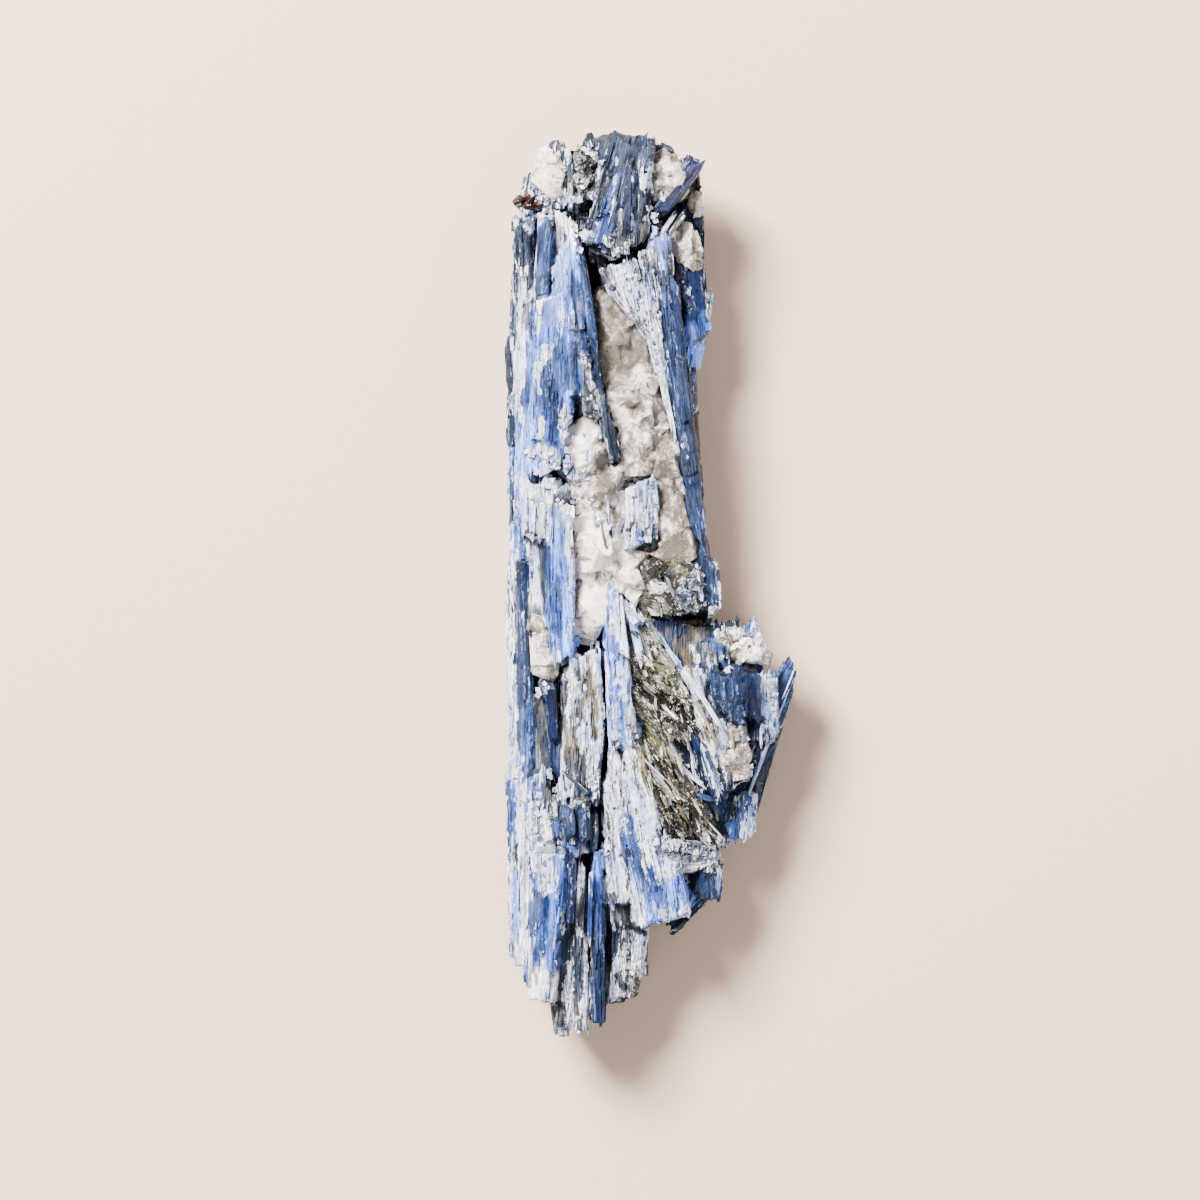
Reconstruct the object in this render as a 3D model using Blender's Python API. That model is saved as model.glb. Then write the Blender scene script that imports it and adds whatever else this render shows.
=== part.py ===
"""Kyanite blade cluster, a hand specimen that lies on its broad side.

Long flat kyanite crystals run the length of it in three bundles, with a short bundle broken across
the upper end. Milky quartz fills the trough between them, small quartz nodules and books of mica sit
in sockets, and a few garnet grains are stuck to the upper left corner.

Plan positions are millimetres from the specimen's lower left corner, x to the right and y along the
blades. Heights are millimetres above the surface that it lies on. The origin is under its middle.
"""

import math
import random

import bmesh
import bpy
from mathutils import Matrix, Vector

MM = 0.001
MIDDLE = (17.83, 54.3)  # plan position that the origin is under
HIGHEST = 20.0
SEAM = 0.3  # open joint between two minerals or two bundles
CORNER_BEVEL = 0.2  # share of a blade's width taken off its upper edges, at most MOST_BEVEL
MOST_BEVEL = 0.55
LEAST_BEVELLED = 1.6  # narrower blades keep sharp edges
STATION_SPACING = 18.0  # a blade gets a ring of points about this often
UNDER_TOP = 7.0  # the end bundle lies on the long blades at this height
TROUGH_FLOOR = 7.5
POCKET_FLOOR = 9.4
LUMP_CORNERS = 14
VEIN_LEVEL = 12.2  # the quartz is filled up to here between its lumps
PLATES_SUNK = 1.5  # the mica's plates are centred this far below the top of their pocket
SEAT_FLOOR = 9.2
SEAT_MARGINS = (0.4, 0.7)  # room round the embedded blade: beyond its foot, beyond its tip
SEAT_HALVES = (2.4, 2.1)

# Each blade: name, foot (x, y, top), tip (x, y, top), widths at foot and tip, depth, roll, laths.
# Roll is in degrees and lowers the right-hand edge. Laths are the thin splinters standing on its face.
LEFT_BUNDLE = [
    ("edge_upper", (1.0, 70.8, 9.4), (1.9, 99.8, 11.0), (1.7, 1.4), 8.0, -24, 0),
    ("edge_middle", (1.5, 57.1, 9.6), (1.2, 84.6, 9.8), (1.6, 1.8), 8.0, -22, 0),
    ("second_upper", (2.6, 57.4, 12.4), (2.4, 99.1, 13.2), (2.4, 2.2), 9.0, -8, 1),
    ("main_face", (5.2, 67.0, 15.0), (6.0, 90.0, 16.2), (6.0, 5.5), 9.0, -3, 3),
    ("crest_left", (4.1, 84.4, 15.4), (5.3, 98.9, 15.6), (1.9, 1.7), 8.0, -6, 0),
    ("crest_middle", (7.0, 85.6, 15.8), (7.3, 93.6, 15.4), (2.6, 2.2), 8.0, 0, 0),
    ("crest_chip", (6.4, 92.4, 14.2), (6.5, 97.9, 14.4), (2.2, 1.9), 7.0, 4, 0),
    ("crest_right", (9.2, 76.3, 15.8), (7.7, 99.4, 16.3), (2.6, 2.3), 8.0, 6, 1),
    ("inner_strip", (10.7, 74.2, 14.8), (9.2, 84.7, 15.6), (1.8, 1.4), 7.0, 8, 0),
    ("slanted", (13.7, 68.9, 14.2), (9.6, 95.8, 16.2), (1.4, 1.8), 8.0, 12, 0),
    ("edge_lower_middle", (1.0, 28.6, 10.0), (1.3, 62.2, 10.6), (1.6, 1.4), 8.0, -20, 0),
    ("middle_left", (2.6, 28.3, 12.6), (2.3, 59.8, 12.6), (2.0, 2.0), 8.0, -6, 0),
    ("middle_white", (4.2, 58.9, 14.2), (4.1, 67.4, 14.7), (3.6, 4.1), 7.0, -3, 1),
    ("middle_pale", (7.3, 44.2, 14.0), (6.7, 65.0, 14.8), (3.1, 3.6), 8.0, 2, 1),
    ("middle_inner", (5.6, 46.3, 13.4), (5.0, 60.2, 13.6), (1.2, 1.2), 7.0, 0, 0),
    ("middle_slot", (3.8, 47.8, 12.2), (3.7, 59.8, 12.4), (1.7, 1.4), 7.0, 0, 0),
    ("navy_wedge", (6.5, 31.4, 12.6), (5.4, 43.2, 13.4), (0.6, 1.6), 7.0, 5, 0),
    ("grey_strip", (4.9, 31.2, 12.4), (4.6, 41.8, 12.6), (1.9, 1.7), 7.0, 0, 0),
    ("mottled", (9.2, 27.8, 13.2), (9.5, 46.6, 13.8), (5.0, 4.1), 8.0, 3, 2),
    ("mottled_right", (11.4, 29.8, 13.0), (10.9, 47.2, 13.8), (1.6, 1.7), 8.0, 10, 0),
    ("edge_lower", (1.4, 9.1, 9.8), (1.0, 31.9, 10.4), (1.4, 1.6), 8.0, -22, 0),
    ("second_lower", (2.2, 7.9, 11.8), (2.0, 32.2, 12.4), (1.9, 2.0), 8.0, -12, 0),
    ("third_lower", (3.4, 6.2, 12.9), (4.0, 32.4, 13.6), (1.9, 2.3), 8.0, -6, 0),
    ("low_main", (4.6, 3.6, 13.4), (6.0, 23.0, 14.9), (3.4, 4.0), 9.0, -4, 2),
    ("low_white", (5.2, 19.9, 14.0), (5.2, 30.2, 14.0), (3.8, 4.1), 8.0, 0, 1),
    ("low_patch", (8.3, 20.6, 13.8), (8.6, 28.6, 14.0), (4.3, 3.8), 8.0, 4, 1),
    ("low_navy", (7.7, 4.1, 10.8), (8.4, 22.6, 11.2), (1.6, 1.3), 8.0, 0, 0),
    ("low_grey_left", (7.2, 1.2, 11.2), (8.2, 13.6, 11.8), (2.0, 1.4), 8.0, 0, 0),
    ("low_grey", (9.0, 0.2, 11.6), (9.5, 19.9, 12.0), (2.3, 1.8), 8.0, 3, 0),
    ("bottom_tip", (7.2, -0.3, 9.4), (7.0, 4.6, 10.4), (1.8, 2.6), 7.0, 0, 0),
    ("low_edge_foot", (1.9, 13.0, 5.8), (1.5, 47.0, 6.2), (1.6, 1.5), 4.2, -16, 0),
    ("low_edge_head", (1.7, 52.0, 5.4), (2.1, 97.0, 6.4), (1.5, 1.6), 4.0, -14, 0),
    ("base_edge", (3.0, 8.4, 8.4), (3.4, 101.0, 8.8), (3.4, 3.4), 7.0, -8, 0),
    ("base_first", (5.9, 4.4, 9.0), (6.1, 105.6, 9.0), (2.9, 2.8), 9.6, 0, 0),
    ("base_second", (8.4, 1.2, 8.8), (8.6, 103.8, 9.0), (2.9, 3.0), 8.1, 0, 0),
    ("base_third", (11.2, 22.0, 8.2), (12.3, 84.0, 8.4), (3.6, 4.6), 9.2, 0, 0),
]
RIGHT_BUNDLE = [
    ("white_head", (16.4, 84.4, 14.0), (14.5, 93.8, 14.8), (3.6, 5.5), 8.0, 4, 2),
    ("white_strip", (20.4, 67.2, 12.8), (17.4, 88.6, 14.4), (1.8, 2.4), 8.0, 8, 0),
    ("grey_strip_upper", (19.6, 87.1, 13.8), (18.4, 97.4, 15.0), (2.6, 2.9), 8.0, 6, 0),
    ("grey_crease", (17.4, 86.4, 14.2), (17.0, 95.0, 14.9), (1.2, 1.2), 7.0, 0, 0),
    ("long_upper", (22.7, 66.2, 12.2), (19.7, 91.2, 13.8), (3.0, 3.0), 8.0, 20, 1),
    ("long_lower", (24.7, 50.6, 10.6), (22.3, 70.3, 12.4), (2.6, 3.0), 8.0, 22, 1),
    ("side_upper", (23.6, 83.4, 9.8), (22.8, 99.6, 11.6), (3.4, 2.6), 8.0, 18, 0),
    ("side_lower", (22.6, 79.7, 8.8), (24.1, 89.8, 9.6), (1.6, 3.1), 7.0, 20, 0),
    ("end_white", (25.7, 47.0, 10.2), (25.1, 57.8, 10.8), (1.7, 2.0), 8.0, 12, 0),
    ("pocket_floor", (19.8, 51.1, 9.6), (19.3, 59.8, 10.4), (7.9, 7.0), 7.0, 4, 0),
    ("pocket_wall", (23.4, 52.3, 12.2), (22.4, 57.4, 12.2), (1.9, 1.7), 8.0, 10, 0),
    ("low_side_foot", (24.9, 52.4, 6.4), (22.2, 79.0, 7.0), (1.8, 1.7), 4.6, 20, 0),
    ("low_side_head", (22.7, 80.6, 5.6), (23.6, 101.0, 6.6), (1.8, 1.6), 4.0, 16, 0),
    ("base_first", (13.6, 48.0, 8.6), (12.0, 105.1, 8.8), (4.8, 4.4), 8.2, 0, 0),
    ("base_second", (17.2, 48.0, 8.6), (15.6, 106.2, 8.8), (3.8, 3.6), 9.6, 0, 0),
    ("base_third", (20.6, 47.0, 8.4), (18.9, 104.4, 8.8), (3.6, 3.8), 7.6, 2, 0),
    ("base_fourth", (23.6, 47.0, 8.2), (20.2, 102.6, 8.6), (3.0, 3.2), 9.2, 3, 0),
]
TOP_BUNDLE = [
    ("core_left", (11.2, 94.3, 16.0), (14.8, 108.2, 16.0), (3.8, 3.6), 9.0, -6, 1),
    ("core_right", (15.6, 94.1, 15.8), (16.4, 108.5, 16.2), (4.1, 3.4), 9.0, 4, 2),
    ("core_foot", (12.1, 92.9, 14.6), (13.1, 99.1, 15.6), (4.1, 3.6), 8.0, 0, 0),
    ("back_left", (11.4, 100.1, 14.0), (11.6, 108.6, 13.8), (5.3, 4.1), 8.0, 0, 1),
    ("left_step", (3.5, 98.4, 12.2), (4.4, 104.8, 12.4), (3.6, 2.9), 6.0, -10, 0),
    ("left_middle", (7.0, 98.9, 13.4), (7.2, 107.6, 13.6), (4.6, 4.1), 7.0, -4, 0),
    ("diagonal_navy", (17.9, 97.7, 14.6), (23.5, 105.2, 13.6), (1.4, 2.0), 7.0, 14, 0),
    ("back_right", (19.8, 99.8, 13.0), (19.3, 107.6, 13.4), (3.8, 2.2), 6.0, 6, 0),
    ("corner_right", (22.4, 100.6, 11.6), (22.7, 105.7, 12.0), (2.9, 2.4), 6.0, 12, 0),
    ("shoulder", (23.3, 93.1, 9.8), (23.2, 101.8, 10.8), (1.7, 1.9), 6.0, 20, 0),
]
FAN_BUNDLE = [
    ("middle_blue", (11.5, 1.1, 11.8), (11.3, 23.0, 12.8), (1.8, 1.7), 8.0, 2, 0),
    ("white_blade", (14.4, 15.6, 12.8), (13.0, 36.0, 14.2), (3.1, 1.9), 8.0, 4, 1),
    ("pocket_grey", (14.3, 12.7, 10.8), (13.9, 19.2, 12.0), (3.4, 3.4), 7.0, 0, 0),
    ("low_chunk", (14.3, 3.4, 9.4), (15.5, 14.4, 11.0), (3.4, 4.6), 8.0, 6, 2),
    ("streak_blade", (17.0, 13.4, 13.8), (14.0, 29.8, 14.4), (1.8, 1.4), 8.0, 0, 0),
    ("broad_blade", (19.4, 13.4, 13.4), (16.0, 35.3, 15.2), (7.0, 2.9), 8.0, 6, 2),
    ("spear_left", (14.2, 34.6, 15.2), (13.0, 53.8, 16.6), (3.4, 1.2), 9.0, -8, 1),
    ("spear_ridge", (23.6, 40.1, 15.0), (14.0, 53.5, 16.8), (2.4, 1.2), 8.0, 14, 0),
    ("ridge_lower", (26.3, 28.1, 12.8), (22.4, 44.9, 15.2), (1.7, 2.4), 8.0, 16, 0),
    ("fan_strip", (24.4, 28.6, 12.2), (22.4, 41.8, 13.4), (1.9, 1.7), 7.0, 0, 0),
    ("pocket_shelf", (22.4, 22.6, 10.4), (16.4, 47.8, 12.2), (8.4, 4.8), 8.0, 4, 0),
    ("grey_table", (28.2, 29.5, 12.2), (27.0, 41.0, 13.2), (4.1, 3.8), 8.0, 10, 1),
    ("block", (29.4, 37.7, 12.6), (29.2, 44.6, 13.4), (3.4, 3.4), 8.0, 8, 1),
    ("block_left", (26.5, 37.9, 12.4), (25.8, 48.2, 13.2), (2.9, 2.9), 8.0, 6, 1),
    ("fan_cap", (28.7, 44.4, 11.6), (27.0, 49.7, 11.8), (5.3, 2.6), 7.0, 8, 0),
    ("spike_top", (30.7, 45.1, 9.8), (30.1, 50.5, 10.2), (2.4, 0.7), 5.0, 10, 0),
    ("rim_right", (31.6, 34.8, 10.4), (32.0, 44.4, 11.6), (3.1, 2.6), 7.0, 18, 1),
    ("outer_blade", (28.6, 24.0, 7.6), (34.0, 41.8, 8.8), (3.1, 2.6), 6.0, 22, 1),
    ("outer_tip", (32.6, 38.6, 8.8), (35.0, 44.4, 9.8), (1.8, 1.4), 4.0, 16, 0),
    ("outer_small", (28.6, 23.0, 8.6), (29.5, 29.8, 9.8), (3.1, 3.1), 7.0, 16, 0),
    ("cross_upper", (18.2, 23.0, 13.2), (26.5, 23.5, 11.8), (1.9, 1.7), 7.0, -8, 0),
    ("cross_lower", (19.1, 20.6, 12.6), (26.3, 21.4, 11.2), (2.2, 1.7), 7.0, -8, 0),
    ("low_lump", (24.7, 15.8, 9.8), (25.1, 21.4, 11.2), (2.9, 3.1), 7.0, 14, 0),
    ("under_lip", (19.8, 12.5, 6.8), (24.4, 17.0, 7.6), (1.7, 1.9), 5.0, 10, 0),
    ("base_first", (12.4, 4.1, 8.4), (13.8, 56.0, 9.4), (3.2, 4.4), 7.8, 0, 0),
    ("base_second", (15.6, 6.4, 8.6), (17.0, 56.0, 9.4), (3.0, 3.8), 9.9, 0, 0),
    ("base_third", (19.0, 14.2, 8.4), (20.2, 56.0, 9.6), (4.0, 3.8), 8.4, 0, 0),
    ("base_fourth", (22.4, 16.4, 8.2), (23.4, 56.0, 9.4), (3.6, 3.9), 9.8, 0, 0),
    ("base_fifth", (25.8, 22.6, 7.4), (26.6, 50.8, 8.4), (3.8, 4.0), 6.9, 8, 0),
    ("base_sixth", (28.6, 25.4, 6.8), (30.0, 47.4, 7.8), (3.8, 3.9), 5.6, 16, 0),
]
EMBEDDED_BLADE = ("embedded", (16.6, 58.6, 13.4), (16.4, 67.2, 14.2), (3.8, 3.1), 3.6, 3, 2)

# Parting lines in plan. The first runs down between the left bundle and all that is right of it.
LONG_PARTING = [
    (10.0, 112.0), (10.0, 93.1), (11.3, 85.0), (12.1, 77.8), (13.9, 71.8), (14.3, 67.9),
    (13.1, 64.3), (12.0, 59.8), (11.9, 50.2), (11.6, 45.4), (12.4, 40.6), (12.6, 35.8),
    (11.9, 31.0), (11.5, 26.2), (10.7, 22.6), (10.3, 19.0), (10.4, -3.0),
]
CROSS_PARTING = [(11.9, 51.6), (16.4, 50.9), (19.3, 50.6), (24.4, 49.7), (27.2, 52.6), (40.0, 53.8)]
TOP_SEAM = [
    (-3.0, 98.9), (6.8, 99.6), (9.0, 97.4), (10.0, 93.1), (12.1, 92.6), (16.4, 93.8),
    (17.6, 96.7), (19.8, 98.9), (22.4, 98.6), (25.1, 93.1), (30.0, 93.1),
]
VEIN = [
    (10.9, 90.2), (11.6, 84.4), (12.5, 77.8), (14.2, 71.8), (14.3, 68.4), (13.0, 68.2),
    (11.6, 72.2), (10.2, 74.6), (8.0, 73.2), (7.1, 68.2), (9.2, 64.0), (8.4, 61.0),
    (8.9, 57.4), (8.8, 47.8), (10.7, 47.5), (12.0, 50.2), (12.6, 53.5), (14.8, 53.5),
    (16.4, 51.4), (16.7, 57.8), (22.4, 57.4), (23.4, 59.2), (21.7, 62.2), (21.2, 67.0),
    (20.3, 71.8), (19.3, 76.6), (17.2, 83.8), (13.6, 88.1),
]

# Broken lumps: centre (x, y), half sizes (x, y, z), top.
VEIN_LUMPS = [
    ((13.3, 83.2), (2.6, 6.2, 3.0), 13.6),
    ((15.7, 76.3), (3.8, 5.0, 3.5), 14.8),
    ((16.4, 71.0), (3.6, 4.1, 3.5), 14.4),
    ((19.8, 68.2), (2.2, 5.5, 3.0), 13.8),
    ((20.0, 60.7), (2.4, 4.1, 3.0), 13.2),
    ((9.7, 70.3), (3.1, 4.3, 3.5), 15.0),
    ((11.6, 65.5), (2.4, 5.0, 3.0), 14.0),
    ((11.6, 58.3), (3.6, 4.8, 3.5), 14.8),
    ((11.4, 51.1), (2.9, 3.8, 3.0), 14.4),
    ((15.0, 62.2), (2.9, 4.8, 3.0), 13.4),
    ((15.5, 55.4), (1.7, 2.9, 2.6), 13.6),
]
NODULES = {
    "quartz_top": [((19.2, 103.2), (2.0, 3.3, 2.6), 15.2), ((20.4, 102.7), (1.5, 2.1, 2.2), 14.8)],
    "quartz_side": [((21.8, 95.6), (1.6, 2.6, 2.2), 13.4), ((22.8, 93.8), (1.2, 1.8, 1.8), 12.8)],
    "quartz_left": [((5.6, 103.2), (1.6, 2.4, 2.2), 14.6), ((6.1, 105.0), (1.5, 1.9, 2.0), 14.4)],
    "quartz_middle": [((4.6, 48.0), (1.3, 3.0, 2.2), 14.0), ((5.1, 45.4), (1.5, 2.2, 2.0), 13.8)],
    "quartz_fan": [((28.8, 46.5), (2.1, 1.6, 1.9), 13.2), ((30.6, 45.9), (1.7, 1.3, 1.6), 12.8)],
    "quartz_table": [((28.0, 33.1), (1.7, 2.6, 1.9), 13.4)],
    "quartz_shoulder": [((23.2, 100.3), (1.0, 2.1, 1.6), 12.4)],
    "mica_top": [((9.9, 104.9), (1.9, 2.5, 2.4), 14.9), ((9.7, 102.8), (1.5, 1.8, 2.0), 14.5)],
}
GARNETS = [
    ((1.9, 100.4), (1.0, 0.9, 0.9), 13.0),
    ((3.1, 99.9), (0.95, 0.8, 0.9), 13.2),
    ((3.2, 101.0), (0.8, 0.85, 0.8), 13.5),
    ((4.3, 100.3), (0.9, 0.75, 0.8), 13.3),
]

# Pockets of mica: outline in plan, then the height of the book in it.
MICA_POCKETS = {
    "mica_crevice": ([(16.9, 57.2), (22.6, 56.9), (23.2, 51.6), (17.0, 51.5)], 12.6),
    "mica_fan_upper": (
        [(15.7, 49.4), (17.7, 49.3), (22.2, 41.8), (23.0, 37.2), (19.8, 36.4), (17.1, 38.0), (15.9, 41.8)],
        15.0,
    ),
    "mica_fan_lower": (
        [(16.8, 35.3), (19.8, 35.7), (23.4, 28.6), (24.9, 24.9), (19.2, 24.9), (18.3, 29.8)],
        14.2,
    ),
}

# Open crevices: a line in plan, the widest opening, and the height of the bottom.
CREVICES = [
    ([(10.3, 93.2), (11.1, 91.4), (11.2, 88.0)], 1.5, 9.5),
    ([(13.9, 69.2), (14.2, 66.8), (14.1, 64.2)], 0.8, 10.6),
    ([(10.6, 48.2), (8.3, 46.4), (7.1, 44.0), (7.1, 41.6)], 0.5, 11.2),
    ([(12.3, 41.8), (12.5, 35.6), (12.1, 32.0), (11.6, 28.4)], 1.2, 6.0),
    ([(18.4, 51.4), (21.0, 50.9), (24.6, 49.8)], 1.5, 6.4),
    ([(13.2, 34.9), (14.6, 36.9), (15.8, 38.0)], 0.5, 12.2),
    ([(23.2, 44.9), (26.0, 44.6), (27.8, 43.0)], 0.6, 10.8),
    ([(24.8, 40.8), (26.8, 38.2), (29.0, 35.6)], 0.6, 10.4),
    ([(25.4, 35.4), (25.8, 32.6), (26.4, 29.6)], 0.6, 9.6),
    ([(12.2, 24.2), (12.5, 22.4)], 0.7, 10.6),
    ([(10.2, 24.8), (10.3, 21.6)], 0.6, 10.4),
    ([(6.4, 24.4), (6.6, 22.6)], 0.6, 12.0),
    ([(19.4, 97.6), (17.4, 94.4)], 0.5, 11.0),
    ([(17.4, 102.6), (17.8, 97.2)], 0.5, 12.6),
    ([(1.5, 73.0), (1.4, 66.0), (1.5, 60.4)], 0.4, 8.6),
    ([(5.9, 92.6), (5.8, 89.6)], 0.35, 13.2),
]

COLOURS = {
    "kyanite": ((0.16, 0.26, 0.55), 0.42),
    "quartz": ((0.72, 0.70, 0.67), 0.25),
    "mica": ((0.24, 0.23, 0.14), 0.35),
    "garnet": ((0.19, 0.045, 0.02), 0.40),
}


def placed(x, y, z):
    """A point of the plan, in metres and with the origin under the specimen's middle."""
    return Vector((x - MIDDLE[0], y - MIDDLE[1], z)) * MM


def material(name):
    colour, roughness = COLOURS[name]
    made = bpy.data.materials.get(name) or bpy.data.materials.new(name)
    made.use_nodes = True
    shader = made.node_tree.nodes["Principled BSDF"]
    shader.inputs["Base Color"].default_value = (*colour, 1.0)
    shader.inputs["Roughness"].default_value = roughness
    made.diffuse_color = (*colour, 1.0)
    return made


def new_object(name, bm):
    mesh = bpy.data.meshes.new(name)
    bmesh.ops.recalc_face_normals(bm, faces=bm.faces)
    bm.to_mesh(mesh)
    bm.free()
    made = bpy.data.objects.new(name, mesh)
    bpy.context.scene.collection.objects.link(made)
    return made


def combine(target, others, operation):
    """Joins the others to the target, or cuts them from it, and removes them."""
    group = bpy.data.collections.new("operands")
    bpy.context.scene.collection.children.link(group)
    for other in others:
        bpy.context.scene.collection.objects.unlink(other)
        group.objects.link(other)
    boolean = target.modifiers.new("combine", "BOOLEAN")
    boolean.operation = operation
    boolean.operand_type = "COLLECTION"
    boolean.collection = group
    boolean.solver = "EXACT"
    graph = bpy.context.evaluated_depsgraph_get()
    result = bpy.data.meshes.new_from_object(target.evaluated_get(graph))
    target.modifiers.clear()
    target.data = result
    for other in others:
        bpy.data.objects.remove(other)
    bpy.data.collections.remove(group)


def cut_end(bm, at, normal):
    """Breaks the end of a blade off along a slanted plane, and closes it."""
    geometry = bm.verts[:] + bm.edges[:] + bm.faces[:]
    cut = bmesh.ops.bisect_plane(bm, geom=geometry, plane_co=at, plane_no=normal, clear_outer=True)
    edges = [e for e in cut["geom_cut"] if isinstance(e, bmesh.types.BMEdge)]
    bmesh.ops.contextual_create(bm, geom=edges)


def crystal(name, foot, tip, widths, depth, roll, rng):
    """One flat crystal: a long box with bevelled edges, wavy in width and height, broken at both ends."""
    foot, tip = placed(*foot), placed(*tip)
    axis = tip - foot
    length, depth = axis.length, depth * MM
    foot_half, tip_half = widths[0] * MM / 2, widths[1] * MM / 2
    narrow = min(foot_half, tip_half)
    bm = bmesh.new()
    bmesh.ops.create_cube(bm, size=1.0)
    bmesh.ops.translate(bm, vec=(0, 0.5, -0.5), verts=bm.verts)
    bmesh.ops.scale(bm, vec=(2, length, depth), verts=bm.verts)
    stations = max(1, round(length / MM / STATION_SPACING))
    for i in range(1, stations):
        geometry = bm.verts[:] + bm.edges[:] + bm.faces[:]
        at = (0, length * i / stations, 0)
        bmesh.ops.bisect_plane(bm, geom=geometry, plane_co=at, plane_no=(0, 1, 0))
    for i in range(stations + 1):
        level = length * i / stations
        half = foot_half + (tip_half - foot_half) * i / stations
        side = rng.uniform(-0.12, 0.12) * narrow
        lift = rng.uniform(-0.12, 0.12) * MM
        spread = half * rng.uniform(0.92, 1.08)
        for vert in bm.verts:
            if abs(vert.co.y - level) < length / stations / 3:
                vert.co.x = vert.co.x * spread + side
                vert.co.z += lift
    if 2 * narrow > LEAST_BEVELLED * MM:
        along = [e for e in bm.edges if abs(e.verts[0].co.y - e.verts[1].co.y) > length / stations / 2]
        upper = [e for e in along if max(v.co.z for v in e.verts) > -depth / 2]
        offset = min(CORNER_BEVEL * 2 * narrow, MOST_BEVEL * MM)
        bmesh.ops.bevel(
            bm, geom=upper, offset=offset, segments=1, profile=0.5, affect="EDGES", material=-1
        )
    for y, outward in ((length, 1), (0, -1)):
        back = 0.3 * narrow * outward
        normal = Vector((rng.uniform(-0.5, 0.5), outward, rng.uniform(-0.35, 0.15)))
        cut_end(bm, (0, y - back, 0), normal)
    axis.normalize()
    across = axis.cross(Vector((0, 0, 1))).normalized()
    rotation = Matrix((across, axis, across.cross(axis))).transposed().to_4x4()
    turn = rotation @ Matrix.Rotation(math.radians(roll), 4, "Y")
    bmesh.ops.transform(bm, matrix=Matrix.Translation(foot) @ turn, verts=bm.verts)
    return new_object(name, bm)


def lath_rows(blade, rng):
    """The thin splinters that stand a little proud of a blade's face, as blades of their own."""
    name, foot, tip, widths, _, roll, count = blade
    foot, tip = Vector(foot), Vector(tip)
    axis = (tip - foot).normalized()
    across = axis.cross(Vector((0, 0, 1))).normalized()
    across = Matrix.Rotation(math.radians(roll), 3, axis) @ across
    up = across.cross(axis)
    rows = []
    for i in range(count):
        start = rng.uniform(0.03, 0.45)
        end = min(0.97, start + rng.uniform(0.3, 0.6))
        width = min(widths)
        slot = ((i + rng.uniform(0.2, 0.8)) / count - 0.5) * 0.8 * width
        proud = rng.uniform(0.25, 0.6)
        lath_width = max(0.5, width * rng.uniform(0.5, 0.9) / (count + 1))
        ends = [foot.lerp(tip, t) + across * slot + up * proud for t in (start, end)]
        rows.append((f"{name}_lath", ends[0], ends[1], (lath_width, lath_width * 0.8), 1.6, roll))
    return rows


def bundle(blades, seed):
    """The blades and their laths, grown into one solid."""
    rng = random.Random(seed)
    pieces = []
    for blade in blades:
        pieces.append(crystal(*blade[:6], rng))
        pieces += [crystal(*row, rng) for row in lath_rows(blade, rng)]
    first = pieces.pop(0)
    combine(first, pieces, "UNION")
    return first


def grown(outline, distance):
    """An outline in plan with each side moved out by the distance. The outline may run either way."""
    count = len(outline)
    area = sum(
        outline[i][0] * outline[(i + 1) % count][1] - outline[(i + 1) % count][0] * outline[i][1]
        for i in range(count)
    )
    outward = distance if area > 0 else -distance
    moved = []
    for i, point in enumerate(outline):
        before = (Vector(point) - Vector(outline[i - 1])).normalized()
        after = (Vector(outline[(i + 1) % count]) - Vector(point)).normalized()
        normal = Vector((before.y + after.y, -before.x - after.x)).normalized()
        reach = outward / max(0.4, normal.dot(Vector((before.y, -before.x))))
        moved.append((point[0] + normal.x * reach, point[1] + normal.y * reach))
    return moved


def prism(name, outline, bottom, top=HIGHEST):
    """A block with this outline in plan."""
    bm = bmesh.new()
    bm.faces.new([bm.verts.new(placed(x, y, bottom)) for x, y in outline])
    face = bm.faces[:]
    raised = bmesh.ops.extrude_face_region(bm, geom=face)
    verts = [v for v in raised["geom"] if isinstance(v, bmesh.types.BMVert)]
    bmesh.ops.translate(bm, vec=(0, 0, (top - bottom) * MM), verts=verts)
    bmesh.ops.triangulate(bm, faces=bm.faces)
    return new_object(name, bm)


def crevice(line, opening, bottom):
    """A crack with pointed ends, widest at the middle of its line."""
    line = [Vector(point) for point in line]
    if len(line) == 2:
        line.insert(1, (line[0] + line[1]) / 2)
    sides = {1: [], -1: []}
    for i in range(1, len(line) - 1):
        run = (line[i + 1] - line[i - 1]).normalized()
        for side, points in sides.items():
            points.append(line[i] + Vector((run.y, -run.x)) * side * opening / 2)
    outline = [line[0], *sides[1], line[-1], *reversed(sides[-1])]
    return prism("crevice", outline, bottom)


def lump(name, centre, sizes, top, rng, growth=0.0, corners=LUMP_CORNERS):
    """A broken lump with flat faces. Growth enlarges it, for the socket that it sits in."""
    bm = bmesh.new()
    for i in range(corners):
        height = 1 - 2 * (i + 0.5) / corners
        turn = i * 2.4 + rng.uniform(-0.5, 0.5)
        ring = math.sqrt(1 - height * height)
        point = Vector((math.cos(turn) * ring, math.sin(turn) * ring, height))
        bm.verts.new(point * rng.uniform(0.84, 1.04))
    hull = bmesh.ops.convex_hull(bm, input=bm.verts)
    bmesh.ops.delete(bm, geom=list(set(hull["geom_interior"] + hull["geom_unused"])), context="VERTS")
    bmesh.ops.scale(bm, vec=[(size + growth) * MM for size in sizes], verts=bm.verts)
    bmesh.ops.translate(bm, vec=placed(*centre, top - sizes[2]), verts=bm.verts)
    return new_object(name, bm)


def nodule(name, lumps, seed, growth=0.0):
    rng = random.Random(seed)
    pieces = [lump(name, *row, rng, growth) for row in lumps]
    if len(pieces) > 1:
        combine(pieces[0], pieces[1:], "UNION")
    return pieces[0]


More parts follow.
